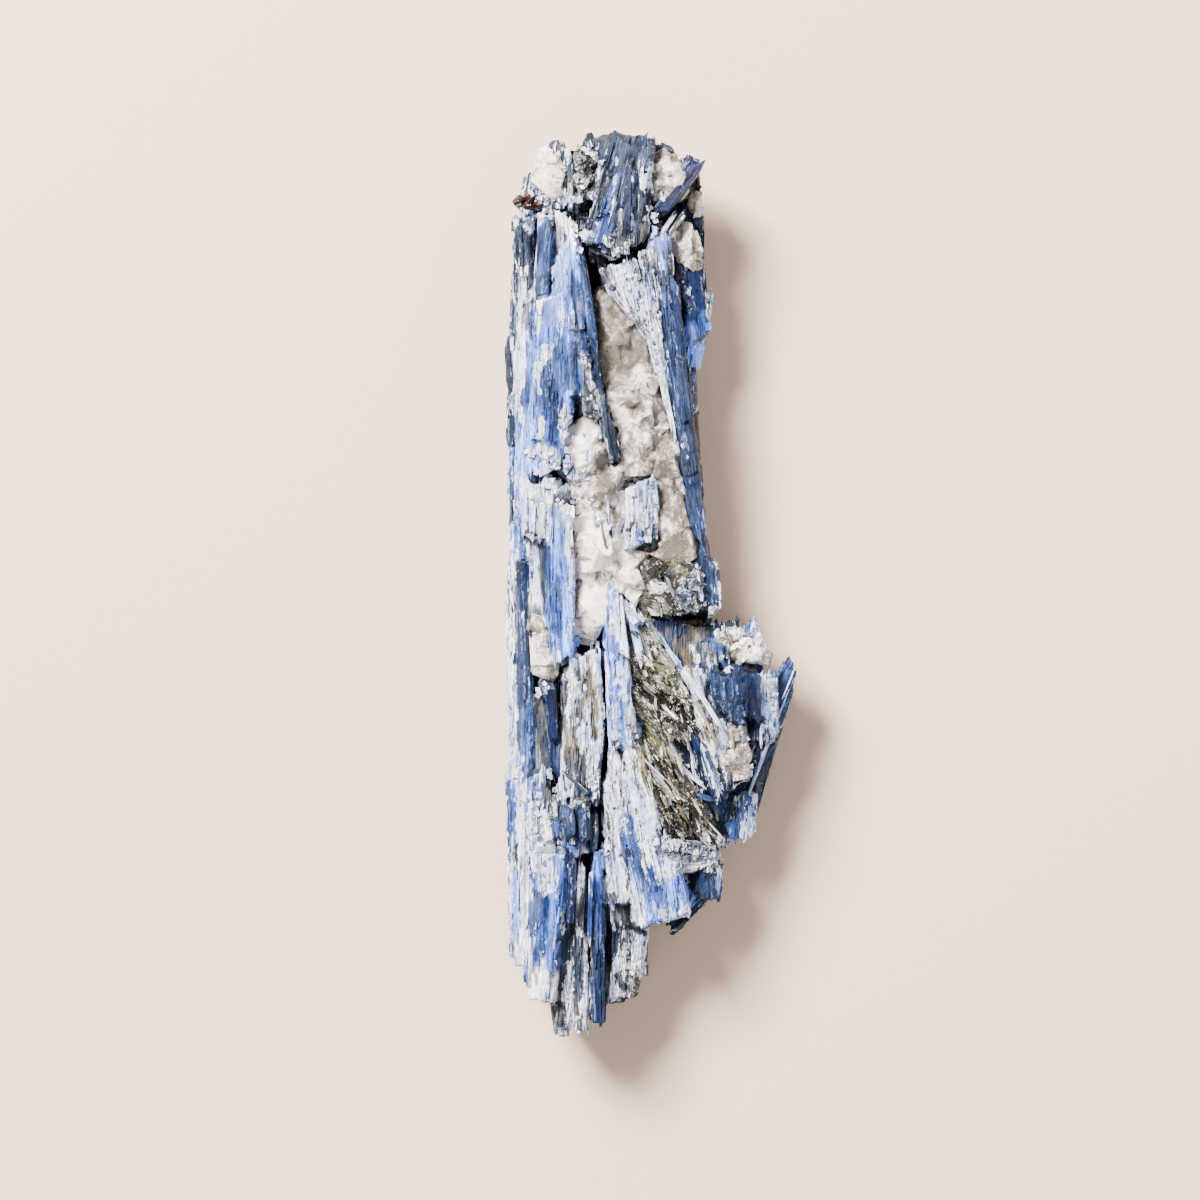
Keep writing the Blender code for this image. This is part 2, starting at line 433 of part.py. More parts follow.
def mica_plate(x, y, z, radius, thickness, rng):
    """One cleavage plate of a mica book, an irregular six-sided leaf."""
    bm = bmesh.new()
    bmesh.ops.create_circle(bm, segments=6, radius=radius * MM, cap_ends=True)
    for vert in bm.verts:
        vert.co *= rng.uniform(0.8, 1.15)
    raised = bmesh.ops.extrude_face_region(bm, geom=bm.faces[:])
    verts = [v for v in raised["geom"] if isinstance(v, bmesh.types.BMVert)]
    bmesh.ops.translate(bm, vec=(0, 0, thickness * MM), verts=verts)
    tilt = Matrix.Rotation(math.radians(rng.uniform(10, 38)), 4, "X")
    turn = Matrix.Rotation(math.radians(rng.uniform(-70, 70)), 4, "Z")
    bmesh.ops.transform(bm, matrix=Matrix.Translation(placed(x, y, z)) @ turn @ tilt, verts=bm.verts)
    return new_object("plate", bm)


def mica_book(name, outline, top, seed):
    """A pocket filled with plates that stand in a slanting stack on a solid floor."""
    rng = random.Random(seed)
    floor = prism(name, outline, POCKET_FLOOR + SEAM, top - PLATES_SUNK)
    low_x, high_x = min(p[0] for p in outline), max(p[0] for p in outline)
    low_y, high_y = min(p[1] for p in outline), max(p[1] for p in outline)
    plates = []
    for row in range(4):
        for column in range(2):
            x = low_x + (high_x - low_x) * (column + rng.uniform(0.3, 0.7)) / 2
            y = low_y + (high_y - low_y) * (row + rng.uniform(0.3, 0.7)) / 4
            thickness = rng.uniform(0.5, 0.9)
            plates.append(mica_plate(x, y, top - PLATES_SUNK, rng.uniform(1.5, 2.3), thickness, rng))
    combine(floor, plates, "UNION")
    combine(floor, [prism("pocket", outline, POCKET_FLOOR)], "INTERSECT")
    return floor


def pockets_and_cracks():
    made = [prism("pocket", grown(outline, SEAM), POCKET_FLOOR) for outline, _ in MICA_POCKETS.values()]
    return made + [crevice(*row) for row in CREVICES]


def sockets():
    """All that is cut out of the kyanite: the trough, the pockets, the nodules' seats and the cracks."""
    made = [prism("trough", grown(VEIN, SEAM), TROUGH_FLOOR), *pockets_and_cracks()]
    for seed, (name, lumps) in enumerate(NODULES.items()):
        made.append(nodule(name, lumps, seed, SEAM * 1.4))
    made.append(nodule("garnet_seat", GARNETS, 40, SEAM))
    return made


def blade_seat():
    """The outline of the embedded blade's seat in the quartz."""
    (foot_x, foot_y, _), (tip_x, tip_y, _) = EMBEDDED_BLADE[1:3]
    foot_y -= SEAT_MARGINS[0]
    tip_y += SEAT_MARGINS[1]
    foot_half, tip_half = SEAT_HALVES
    foot_corners = [(foot_x - foot_half, foot_y), (foot_x + foot_half, foot_y)]
    tip_corners = [(tip_x + tip_half, tip_y), (tip_x - tip_half, tip_y)]
    return foot_corners + tip_corners


def keep_inside(target, outline, bottom):
    combine(target, [prism("territory", grown(outline, -SEAM / 2), bottom)], "INTERSECT")


def finish(made, name, look):
    made.name = name
    made.data.name = name
    made.data.materials.clear()
    made.data.materials.append(material(look))


def build():
    for old in list(bpy.data.objects):
        bpy.data.objects.remove(old)

    left = [(-3.0, 112.0), *LONG_PARTING, (-3.0, -3.0)]
    fork = CROSS_PARTING[0][1]
    upper_right = [p for p in LONG_PARTING if p[1] > fork]
    lower_right = [p for p in LONG_PARTING if p[1] < fork]
    right = [*upper_right, *CROSS_PARTING, (40.0, 112.0)]
    fan = [*CROSS_PARTING, (40.0, -3.0), *reversed(lower_right)]
    top = [*TOP_SEAM, (30.0, 112.0), (-3.0, 112.0)]

    long_bundles = (
        ("left_blades", LEFT_BUNDLE, left, 1),
        ("right_blades", RIGHT_BUNDLE, right, 2),
        ("fan_blades", FAN_BUNDLE, fan, 3),
    )
    for name, blades, outline, seed in long_bundles:
        made = bundle(blades, seed)
        keep_inside(made, outline, 0.0)
        combine(made, [prism("end_seat", grown(top, SEAM / 2), UNDER_TOP), *sockets()], "DIFFERENCE")
        finish(made, name, "kyanite")

    made = bundle(TOP_BUNDLE, 4)
    keep_inside(made, top, UNDER_TOP + SEAM)
    combine(made, sockets(), "DIFFERENCE")
    finish(made, "top_blades", "kyanite")

    made = bundle([EMBEDDED_BLADE], 5)
    finish(made, "embedded_blade", "kyanite")

    rng = random.Random(6)
    vein = prism("quartz_vein", VEIN, TROUGH_FLOOR + SEAM, VEIN_LEVEL)
    combine(vein, [lump("lump", *row, rng) for row in VEIN_LUMPS], "UNION")
    keep_inside(vein, VEIN, TROUGH_FLOOR + SEAM)
    combine(vein, [prism("seat", blade_seat(), SEAT_FLOOR), *pockets_and_cracks()], "DIFFERENCE")
    finish(vein, "quartz_vein", "quartz")

    for seed, (name, lumps) in enumerate(NODULES.items()):
        finish(nodule(name, lumps, seed), name, "mica" if name.startswith("mica") else "quartz")
    for seed, (name, (outline, top_height)) in enumerate(MICA_POCKETS.items()):
        finish(mica_book(name, outline, top_height, 20 + seed), name, "mica")
    finish(nodule("garnets", GARNETS, 40), "garnets", "garnet")


build()
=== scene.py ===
import bisect
import math
import random

import bmesh
import bpy
import numpy as np
from mathutils import Matrix, Vector
from mathutils.bvhtree import BVHTree
from mathutils.kdtree import KDTree


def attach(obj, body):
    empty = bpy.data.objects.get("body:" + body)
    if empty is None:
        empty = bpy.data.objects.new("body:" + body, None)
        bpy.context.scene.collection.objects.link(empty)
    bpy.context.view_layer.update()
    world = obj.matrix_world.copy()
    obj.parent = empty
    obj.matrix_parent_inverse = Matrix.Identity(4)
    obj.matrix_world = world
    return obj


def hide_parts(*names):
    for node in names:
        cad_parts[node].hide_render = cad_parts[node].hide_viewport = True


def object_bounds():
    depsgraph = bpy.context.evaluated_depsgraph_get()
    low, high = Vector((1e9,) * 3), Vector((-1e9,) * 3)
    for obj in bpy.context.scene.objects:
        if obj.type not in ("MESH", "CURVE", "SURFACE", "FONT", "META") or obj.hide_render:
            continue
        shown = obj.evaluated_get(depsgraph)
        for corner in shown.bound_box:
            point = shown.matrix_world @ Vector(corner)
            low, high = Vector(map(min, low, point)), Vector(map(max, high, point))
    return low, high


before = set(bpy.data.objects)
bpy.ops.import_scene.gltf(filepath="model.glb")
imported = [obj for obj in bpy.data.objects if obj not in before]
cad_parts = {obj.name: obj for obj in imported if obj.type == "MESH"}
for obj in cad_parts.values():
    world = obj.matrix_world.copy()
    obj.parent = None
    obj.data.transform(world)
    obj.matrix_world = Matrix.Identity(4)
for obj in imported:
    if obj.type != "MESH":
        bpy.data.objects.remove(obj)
cadBox = [list(corner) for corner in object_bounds()]
mm = 0.001
planMiddle = (17.83, 54.3)  # the plan position that lies over the origin, in mm from the lower left corner

# the view and the light
cameraView = {
    "frameWidth": 144.0,  # mm across the picture, at the height of the blades' faces
    "centre": (11.64, 52.56),  # plan position in mm that the camera stands over
    "faceHeight": 12.5,
    "distance": 700.0,
    "sensor": 36.0,
    "clip": (0.01, 20.0),  # m
}
studio = {
    "keyFrom": (-0.42, 0.5, 0.62), "keySize": 0.34, "keyPower": 58.0, "keyColour": "#FFF9F2",
    "fillFrom": (0.5, -0.25, 0.6), "fillSize": 0.8, "fillPower": 3.4, "fillColour": "#EAF0FF",
    "skyColour": "#F8F5F0", "skyStrength": 0.8,
    "floorColour": "#D3B79F", "floorRoughness": 0.9, "floorSize": 1.6,
}


def toLinear(hexColour):
    channels = [int(hexColour[i:i + 2], 16) / 255 for i in (1, 3, 5)]
    return [c / 12.92 if c <= 0.04045 else ((c + 0.055) / 1.055) ** 2.4 for c in channels]


def placed(x, y, z):
    return Vector(((x - planMiddle[0]) * mm, (y - planMiddle[1]) * mm, z * mm))


def linked(name, data):
    made = bpy.data.objects.new(name, data)
    bpy.context.scene.collection.objects.link(made)
    return made


def meshFrom(name, bm):
    mesh = bpy.data.meshes.new(name)
    bm.to_mesh(mesh)
    bm.free()
    return mesh


def setStudio():
    view = cameraView
    camera = linked("camera", bpy.data.cameras.new("camera"))
    camera.data.sensor_width = view["sensor"]
    camera.data.lens = view["sensor"] * view["distance"] / view["frameWidth"]
    camera.data.clip_start, camera.data.clip_end = view["clip"]
    camera.location = placed(*view["centre"], view["distance"] + view["faceHeight"])
    bpy.context.scene.camera = camera

    for name in ("key", "fill"):
        lamp = bpy.data.lights.new(name, "AREA")
        lamp.size = studio[name + "Size"]
        lamp.energy = studio[name + "Power"]
        lamp.color = toLinear(studio[name + "Colour"])
        light = linked(name, lamp)
        light.location = studio[name + "From"]
        light.rotation_euler = (-light.location).to_track_quat("-Z", "Y").to_euler()

    world = bpy.data.worlds.new("studio")
    bpy.context.scene.world = world
    world.use_nodes = True
    sky = {"Color": studio["skyColour"], "Strength": studio["skyStrength"]}
    fill(world.node_tree, world.node_tree.nodes["Background"], sky)

    bm = bmesh.new()
    bmesh.ops.create_grid(bm, x_segments=1, y_segments=1, size=studio["floorSize"])
    floor = linked("floor", meshFrom("floor", bm))
    paint, tree, shader = newMaterial("pale matt board")
    fill(tree, shader, {"Base Color": studio["floorColour"], "Roughness": studio["floorRoughness"]})
    floor.data.materials.append(paint)


# adding to a material
def fill(tree, node, inputs):  # links each socket that is given, and sets each value, with colours in hex
    for name, value in inputs.items():
        if isinstance(value, bpy.types.NodeSocket):
            tree.links.new(value, node.inputs[name])
        else:
            node.inputs[name].default_value = (*toLinear(value), 1) if isinstance(value, str) else value


def addNode(tree, kind, inputs, output=0, **settings):
    made = tree.nodes.new("ShaderNode" + kind)
    for name, value in settings.items():
        setattr(made, name, value)
    fill(tree, made, inputs)
    return made.outputs[output]


def newMaterial(name):
    made = bpy.data.materials.new(name)
    made.use_nodes = True
    return made, made.node_tree, made.node_tree.nodes["Principled BSDF"]


# what each blade looks like
tones = {
    "navy": "#0C1A3A", "royal": "#1E2A47", "blue": "#324476", "sky": "#4F6AB6", "pale": "#7C9AE6",
    "white": "#F5F5F7", "slate": "#252F41", "grey": "#4B4D50", "dark": "#101216", "tan": "#726753",
    "olive": "#55553A", "ink": "#040D2A",
}

# foot and tip (x, y, top) in mm, widths there, tones from foot to tip, and how much of it is frosted white
bladeRows = {
    "left_blades": [
        ("edge_upper", (1.0, 70.8, 9.4), (1.9, 99.8, 11.0), (1.7, 1.4), "slate blue slate slate", 0.36),
        ("edge_middle", (1.5, 57.1, 9.6), (1.2, 84.6, 9.8), (1.6, 1.8), "slate blue slate", 0.4),
        ("second_upper", (2.6, 57.4, 12.4), (2.4, 99.1, 13.2), (2.4, 2.2),
         "sky pale sky white grey slate", 0.5),
        ("main_face", (5.2, 67.0, 15.0), (6.0, 90.0, 16.2), (6.0, 5.5), "pale sky blue blue sky sky", 0.27),
        ("crest_left", (4.1, 84.4, 15.4), (5.3, 98.9, 15.6), (1.9, 1.7), "sky blue royal royal blue", 0.18),
        ("crest_middle", (7.0, 85.6, 15.8), (7.3, 93.6, 15.4), (2.6, 2.2), "sky pale white", 0.68),
        ("crest_chip", (6.4, 92.4, 14.2), (6.5, 97.9, 14.4), (2.2, 1.9), "grey pale", 0.4),
        ("crest_right", (9.2, 76.3, 15.8), (7.7, 99.4, 16.3), (2.6, 2.3), "blue blue sky pale white", 0.32),
        ("inner_strip", (10.7, 74.2, 14.8), (9.2, 84.7, 15.6), (1.8, 1.4), "grey slate", 0.35),
        ("slanted", (13.7, 68.9, 14.2), (9.6, 95.8, 16.2), (1.4, 1.8), "slate slate slate blue slate", 0.2),
        ("edge_lower_middle", (1.0, 28.6, 10.0), (1.3, 62.2, 10.6), (1.6, 1.4), "blue slate blue", 0.6),
        ("middle_left", (2.6, 28.3, 12.6), (2.3, 59.8, 12.6), (2.0, 2.0),
         "sky blue blue blue royal navy", 0.24),
        ("middle_white", (4.2, 58.9, 14.2), (4.1, 67.4, 14.7), (3.6, 4.1), "pale pale white", 0.74),
        ("middle_pale", (7.3, 44.2, 14.0), (6.7, 65.0, 14.8), (3.1, 3.6), "sky sky sky sky white", 0.36),
        ("middle_inner", (5.6, 46.3, 13.4), (5.0, 60.2, 13.6), (1.2, 1.2), "sky royal royal navy", 0.08),
        ("middle_slot", (3.8, 47.8, 12.2), (3.7, 59.8, 12.4), (1.7, 1.4), "grey white dark", 0.5),
        ("navy_wedge", (6.5, 31.4, 12.6), (5.4, 43.2, 13.4), (0.6, 1.6), "navy navy", 0.02),
        ("grey_strip", (4.9, 31.2, 12.4), (4.6, 41.8, 12.6), (1.9, 1.7), "grey slate grey", 0.12),
        ("mottled", (9.2, 27.8, 13.2), (9.5, 46.6, 13.8), (5.0, 4.1), "slate tan grey grey", 0.62),
        ("mottled_right", (11.4, 29.8, 13.0), (10.9, 47.2, 13.8), (1.6, 1.7), "tan grey tan white", 0.5),
        ("edge_lower", (1.4, 9.1, 9.8), (1.0, 31.9, 10.4), (1.4, 1.6), "blue slate slate", 0.6),
        ("second_lower", (2.2, 7.9, 11.8), (2.0, 32.2, 12.4), (1.9, 2.0), "sky slate grey sky", 0.46),
        ("third_lower", (3.4, 6.2, 12.9), (4.0, 32.4, 13.6), (1.9, 2.3), "sky blue slate sky", 0.44),
        ("low_main", (4.6, 3.6, 13.4), (6.0, 23.0, 14.9), (3.4, 4.0), "white sky blue sky sky", 0.24),
        ("low_white", (5.2, 19.9, 14.0), (5.2, 30.2, 14.0), (3.8, 4.1), "sky grey slate", 0.72),
        ("low_patch", (8.3, 20.6, 13.8), (8.6, 28.6, 14.0), (4.3, 3.8), "blue royal slate", 0.15),
        ("low_navy", (7.7, 4.1, 10.8), (8.4, 22.6, 11.2), (1.6, 1.3), "sky blue blue", 0.2),
        ("low_grey_left", (7.2, 1.2, 11.2), (8.2, 13.6, 11.8), (2.0, 1.4), "grey slate slate", 0.24),
        ("low_grey", (9.0, 0.2, 11.6), (9.5, 19.9, 12.0), (2.3, 1.8), "grey slate grey slate", 0.24),
        ("bottom_tip", (7.2, -0.3, 9.4), (7.0, 4.6, 10.4), (1.8, 2.6), "grey slate", 0.4),
        ("low_edge_foot", (1.9, 13.0, 5.8), (1.5, 47.0, 6.2), (1.6, 1.5), "slate blue royal", 0.25),
        ("low_edge_head", (1.7, 52.0, 5.4), (2.1, 97.0, 6.4), (1.5, 1.6), "blue slate royal", 0.25),
        ("base_edge", (3.0, 8.4, 8.4), (3.4, 101.0, 8.8), (3.4, 3.4),
         "pale blue slate blue sky slate", 0.32),
        ("base_first", (5.9, 4.4, 9.0), (6.1, 105.6, 9.0), (2.9, 2.8),
         "sky royal blue slate blue grey", 0.3),
        ("base_second", (8.4, 1.2, 8.8), (8.6, 103.8, 9.0), (2.9, 3.0),
         "grey slate royal blue slate", 0.25),
        ("base_third", (11.2, 22.0, 8.2), (12.3, 84.0, 8.4), (3.6, 4.6), "slate dark slate blue", 0.2),
    ],
    "right_blades": [
        ("white_head", (16.4, 84.4, 14.0), (14.5, 93.8, 14.8), (3.6, 5.5), "grey slate grey", 0.8),
        ("white_strip", (20.4, 67.2, 12.8), (17.4, 88.6, 14.4), (1.8, 2.4), "grey slate grey", 0.74),
        ("grey_strip_upper", (19.6, 87.1, 13.8), (18.4, 97.4, 15.0), (2.6, 2.9),
         "slate slate grey pale", 0.36),
        ("grey_crease", (17.4, 86.4, 14.2), (17.0, 95.0, 14.9), (1.2, 1.2), "slate slate", 0.2),
        ("long_upper", (22.7, 66.2, 12.2), (19.7, 91.2, 13.8), (3.0, 3.0),
         "royal royal royal royal blue", 0.03),
        ("long_lower", (24.7, 50.6, 10.6), (22.3, 70.3, 12.4), (2.6, 3.0), "royal royal royal", 0.03),
        ("side_upper", (23.6, 83.4, 9.8), (22.8, 99.6, 11.6), (3.4, 2.6), "sky navy navy navy slate", 0.04),
        ("side_lower", (22.6, 79.7, 8.8), (24.1, 89.8, 9.6), (1.6, 3.1),
         "pale pale slate royal slate", 0.4),
        ("end_white", (25.7, 47.0, 10.2), (25.1, 57.8, 10.8), (1.7, 2.0), "grey slate blue royal", 0.3),
        ("pocket_floor", (19.8, 51.1, 9.6), (19.3, 59.8, 10.4), (7.9, 7.0), "dark grey", 0.2),
        ("pocket_wall", (23.4, 52.3, 12.2), (22.4, 57.4, 12.2), (1.9, 1.7), "grey sky", 0.45),
        ("low_side_foot", (24.9, 52.4, 6.4), (22.2, 79.0, 7.0), (1.8, 1.7), "royal blue royal", 0.15),
        ("low_side_head", (22.7, 80.6, 5.6), (23.6, 101.0, 6.6), (1.8, 1.6), "blue royal slate", 0.2),
        ("base_first", (13.6, 48.0, 8.6), (12.0, 105.1, 8.8), (4.8, 4.4), "slate blue dark slate", 0.25),
        ("base_second", (17.2, 48.0, 8.6), (15.6, 106.2, 8.8), (3.8, 3.6), "royal slate blue slate", 0.25),
        ("base_third", (20.6, 47.0, 8.4), (18.9, 104.4, 8.8), (3.6, 3.8), "blue royal slate blue", 0.22),
        ("base_fourth", (23.6, 47.0, 8.2), (20.2, 102.6, 8.6), (3.0, 3.2), "royal royal blue slate", 0.18),
    ],
    "top_blades": [
        ("core_left", (11.2, 94.3, 16.0), (14.8, 108.2, 16.0), (3.8, 3.6), "slate slate slate slate", 0.2),
        ("core_right", (15.6, 94.1, 15.8), (16.4, 108.5, 16.2), (4.1, 3.4), "grey slate slate slate", 0.22),
        ("core_foot", (12.1, 92.9, 14.6), (13.1, 99.1, 15.6), (4.1, 3.6), "dark dark slate", 0.3),
        ("back_left", (11.4, 100.1, 14.0), (11.6, 108.6, 13.8), (5.3, 4.1), "dark slate slate", 0.2),
        ("left_step", (3.5, 98.4, 12.2), (4.4, 104.8, 12.4), (3.6, 2.9), "grey slate slate", 0.52),
        ("left_middle", (7.0, 98.9, 13.4), (7.2, 107.6, 13.6), (4.6, 4.1), "grey grey slate slate", 0.45),
        ("diagonal_navy", (17.9, 97.7, 14.6), (23.5, 105.2, 13.6), (1.4, 2.0), "ink navy ink", 0.02),
        ("back_right", (19.8, 99.8, 13.0), (19.3, 107.6, 13.4), (3.8, 2.2), "slate navy navy", 0.06),
        ("corner_right", (22.4, 100.6, 11.6), (22.7, 105.7, 12.0), (2.9, 2.4), "grey slate navy", 0.2),
        ("shoulder", (23.3, 93.1, 9.8), (23.2, 101.8, 10.8), (1.7, 1.9), "slate royal", 0.1),
    ],
    "fan_blades": [
        ("middle_blue", (11.5, 1.1, 11.8), (11.3, 23.0, 12.8), (1.8, 1.7),
         "royal royal royal blue blue sky", 0.14),
        ("white_blade", (14.4, 15.6, 12.8), (13.0, 36.0, 14.2), (3.1, 1.9), "sky grey grey tan", 0.72),
        ("pocket_grey", (14.3, 12.7, 10.8), (13.9, 19.2, 12.0), (3.4, 3.4), "dark grey", 0.3),
        ("low_chunk", (14.3, 3.4, 9.4), (15.5, 14.4, 11.0), (3.4, 4.6), "grey grey dark grey royal", 0.52),
        ("streak_blade", (17.0, 13.4, 13.8), (14.0, 29.8, 14.4), (1.8, 1.4),
         "white sky blue blue sky", 0.25),
        ("broad_blade", (19.4, 13.4, 13.4), (16.0, 35.3, 15.2), (7.0, 2.9),
         "pale sky slate grey grey tan", 0.58),
        ("spear_left", (14.2, 34.6, 15.2), (13.0, 53.8, 16.6), (3.4, 1.2), "pale pale pale sky", 0.66),
        ("spear_ridge", (23.6, 40.1, 15.0), (14.0, 53.5, 16.8), (2.4, 1.2), "pale pale slate sky", 0.5),
        ("ridge_lower", (26.3, 28.1, 12.8), (22.4, 44.9, 15.2), (1.7, 2.4), "slate tan tan white", 0.5),
        ("fan_strip", (24.4, 28.6, 12.2), (22.4, 41.8, 13.4), (1.9, 1.7), "navy slate grey", 0.3),
        ("pocket_shelf", (22.4, 22.6, 10.4), (16.4, 47.8, 12.2), (8.4, 4.8), "dark slate grey", 0.16),
        ("grey_table", (28.2, 29.5, 12.2), (27.0, 41.0, 13.2), (4.1, 3.8), "grey tan grey", 0.34),
        ("block", (29.4, 37.7, 12.6), (29.2, 44.6, 13.4), (3.4, 3.4), "royal royal slate", 0.14),
        ("block_left", (26.5, 37.9, 12.4), (25.8, 48.2, 13.2), (2.9, 2.9), "pale royal slate grey", 0.36),
        ("fan_cap", (28.7, 44.4, 11.6), (27.0, 49.7, 11.8), (5.3, 2.6), "grey tan", 0.68),
        ("spike_top", (30.7, 45.1, 9.8), (30.1, 50.5, 10.2), (2.4, 0.7), "white blue", 0.55),
        ("rim_right", (31.6, 34.8, 10.4), (32.0, 44.4, 11.6), (3.1, 2.6), "royal pale sky", 0.38),
        ("outer_blade", (28.6, 24.0, 7.6), (34.0, 41.8, 8.8), (3.1, 2.6), "sky slate slate royal", 0.1),
        ("outer_tip", (32.6, 38.6, 8.8), (35.0, 44.4, 9.8), (1.8, 1.4), "slate royal blue", 0.14),
        ("outer_small", (28.6, 23.0, 8.6), (29.5, 29.8, 9.8), (3.1, 3.1), "sky slate slate", 0.44),
        ("cross_upper", (18.2, 23.0, 13.2), (26.5, 23.5, 11.8), (1.9, 1.7), "grey slate grey", 0.42),
        ("cross_lower", (19.1, 20.6, 12.6), (26.3, 21.4, 11.2), (2.2, 1.7), "pale slate grey", 0.42),
        ("low_lump", (24.7, 15.8, 9.8), (25.1, 21.4, 11.2), (2.9, 3.1), "slate slate royal", 0.24),
        ("under_lip", (19.8, 12.5, 6.8), (24.4, 17.0, 7.6), (1.7, 1.9), "slate slate", 0.3),
        ("base_first", (12.4, 4.1, 8.4), (13.8, 56.0, 9.4), (3.2, 4.4), "navy slate dark slate", 0.15),
        ("base_second", (15.6, 6.4, 8.6), (17.0, 56.0, 9.4), (3.0, 3.8), "slate royal blue slate", 0.25),
        ("base_third", (19.0, 14.2, 8.4), (20.2, 56.0, 9.6), (4.0, 3.8), "royal slate blue", 0.25),
        ("base_fourth", (22.4, 16.4, 8.2), (23.4, 56.0, 9.4), (3.6, 3.9), "royal blue slate", 0.22),
        ("base_fifth", (25.8, 22.6, 7.4), (26.6, 50.8, 8.4), (3.8, 4.0), "blue royal slate", 0.25),
        ("base_sixth", (28.6, 25.4, 6.8), (30.0, 47.4, 7.8), (3.8, 3.9), "sky royal blue", 0.25),
    ],
    "embedded_blade": [
        ("embedded", (16.6, 58.6, 13.4), (16.4, 67.2, 14.2), (3.8, 3.1), "sky grey white pale", 0.8),
    ],
}

# the sheet that the strokes are laid out on: a step in mm, and the specimen's lower left corner on it
sheet = {"step": 0.12, "left": 503, "bottom": 1038}

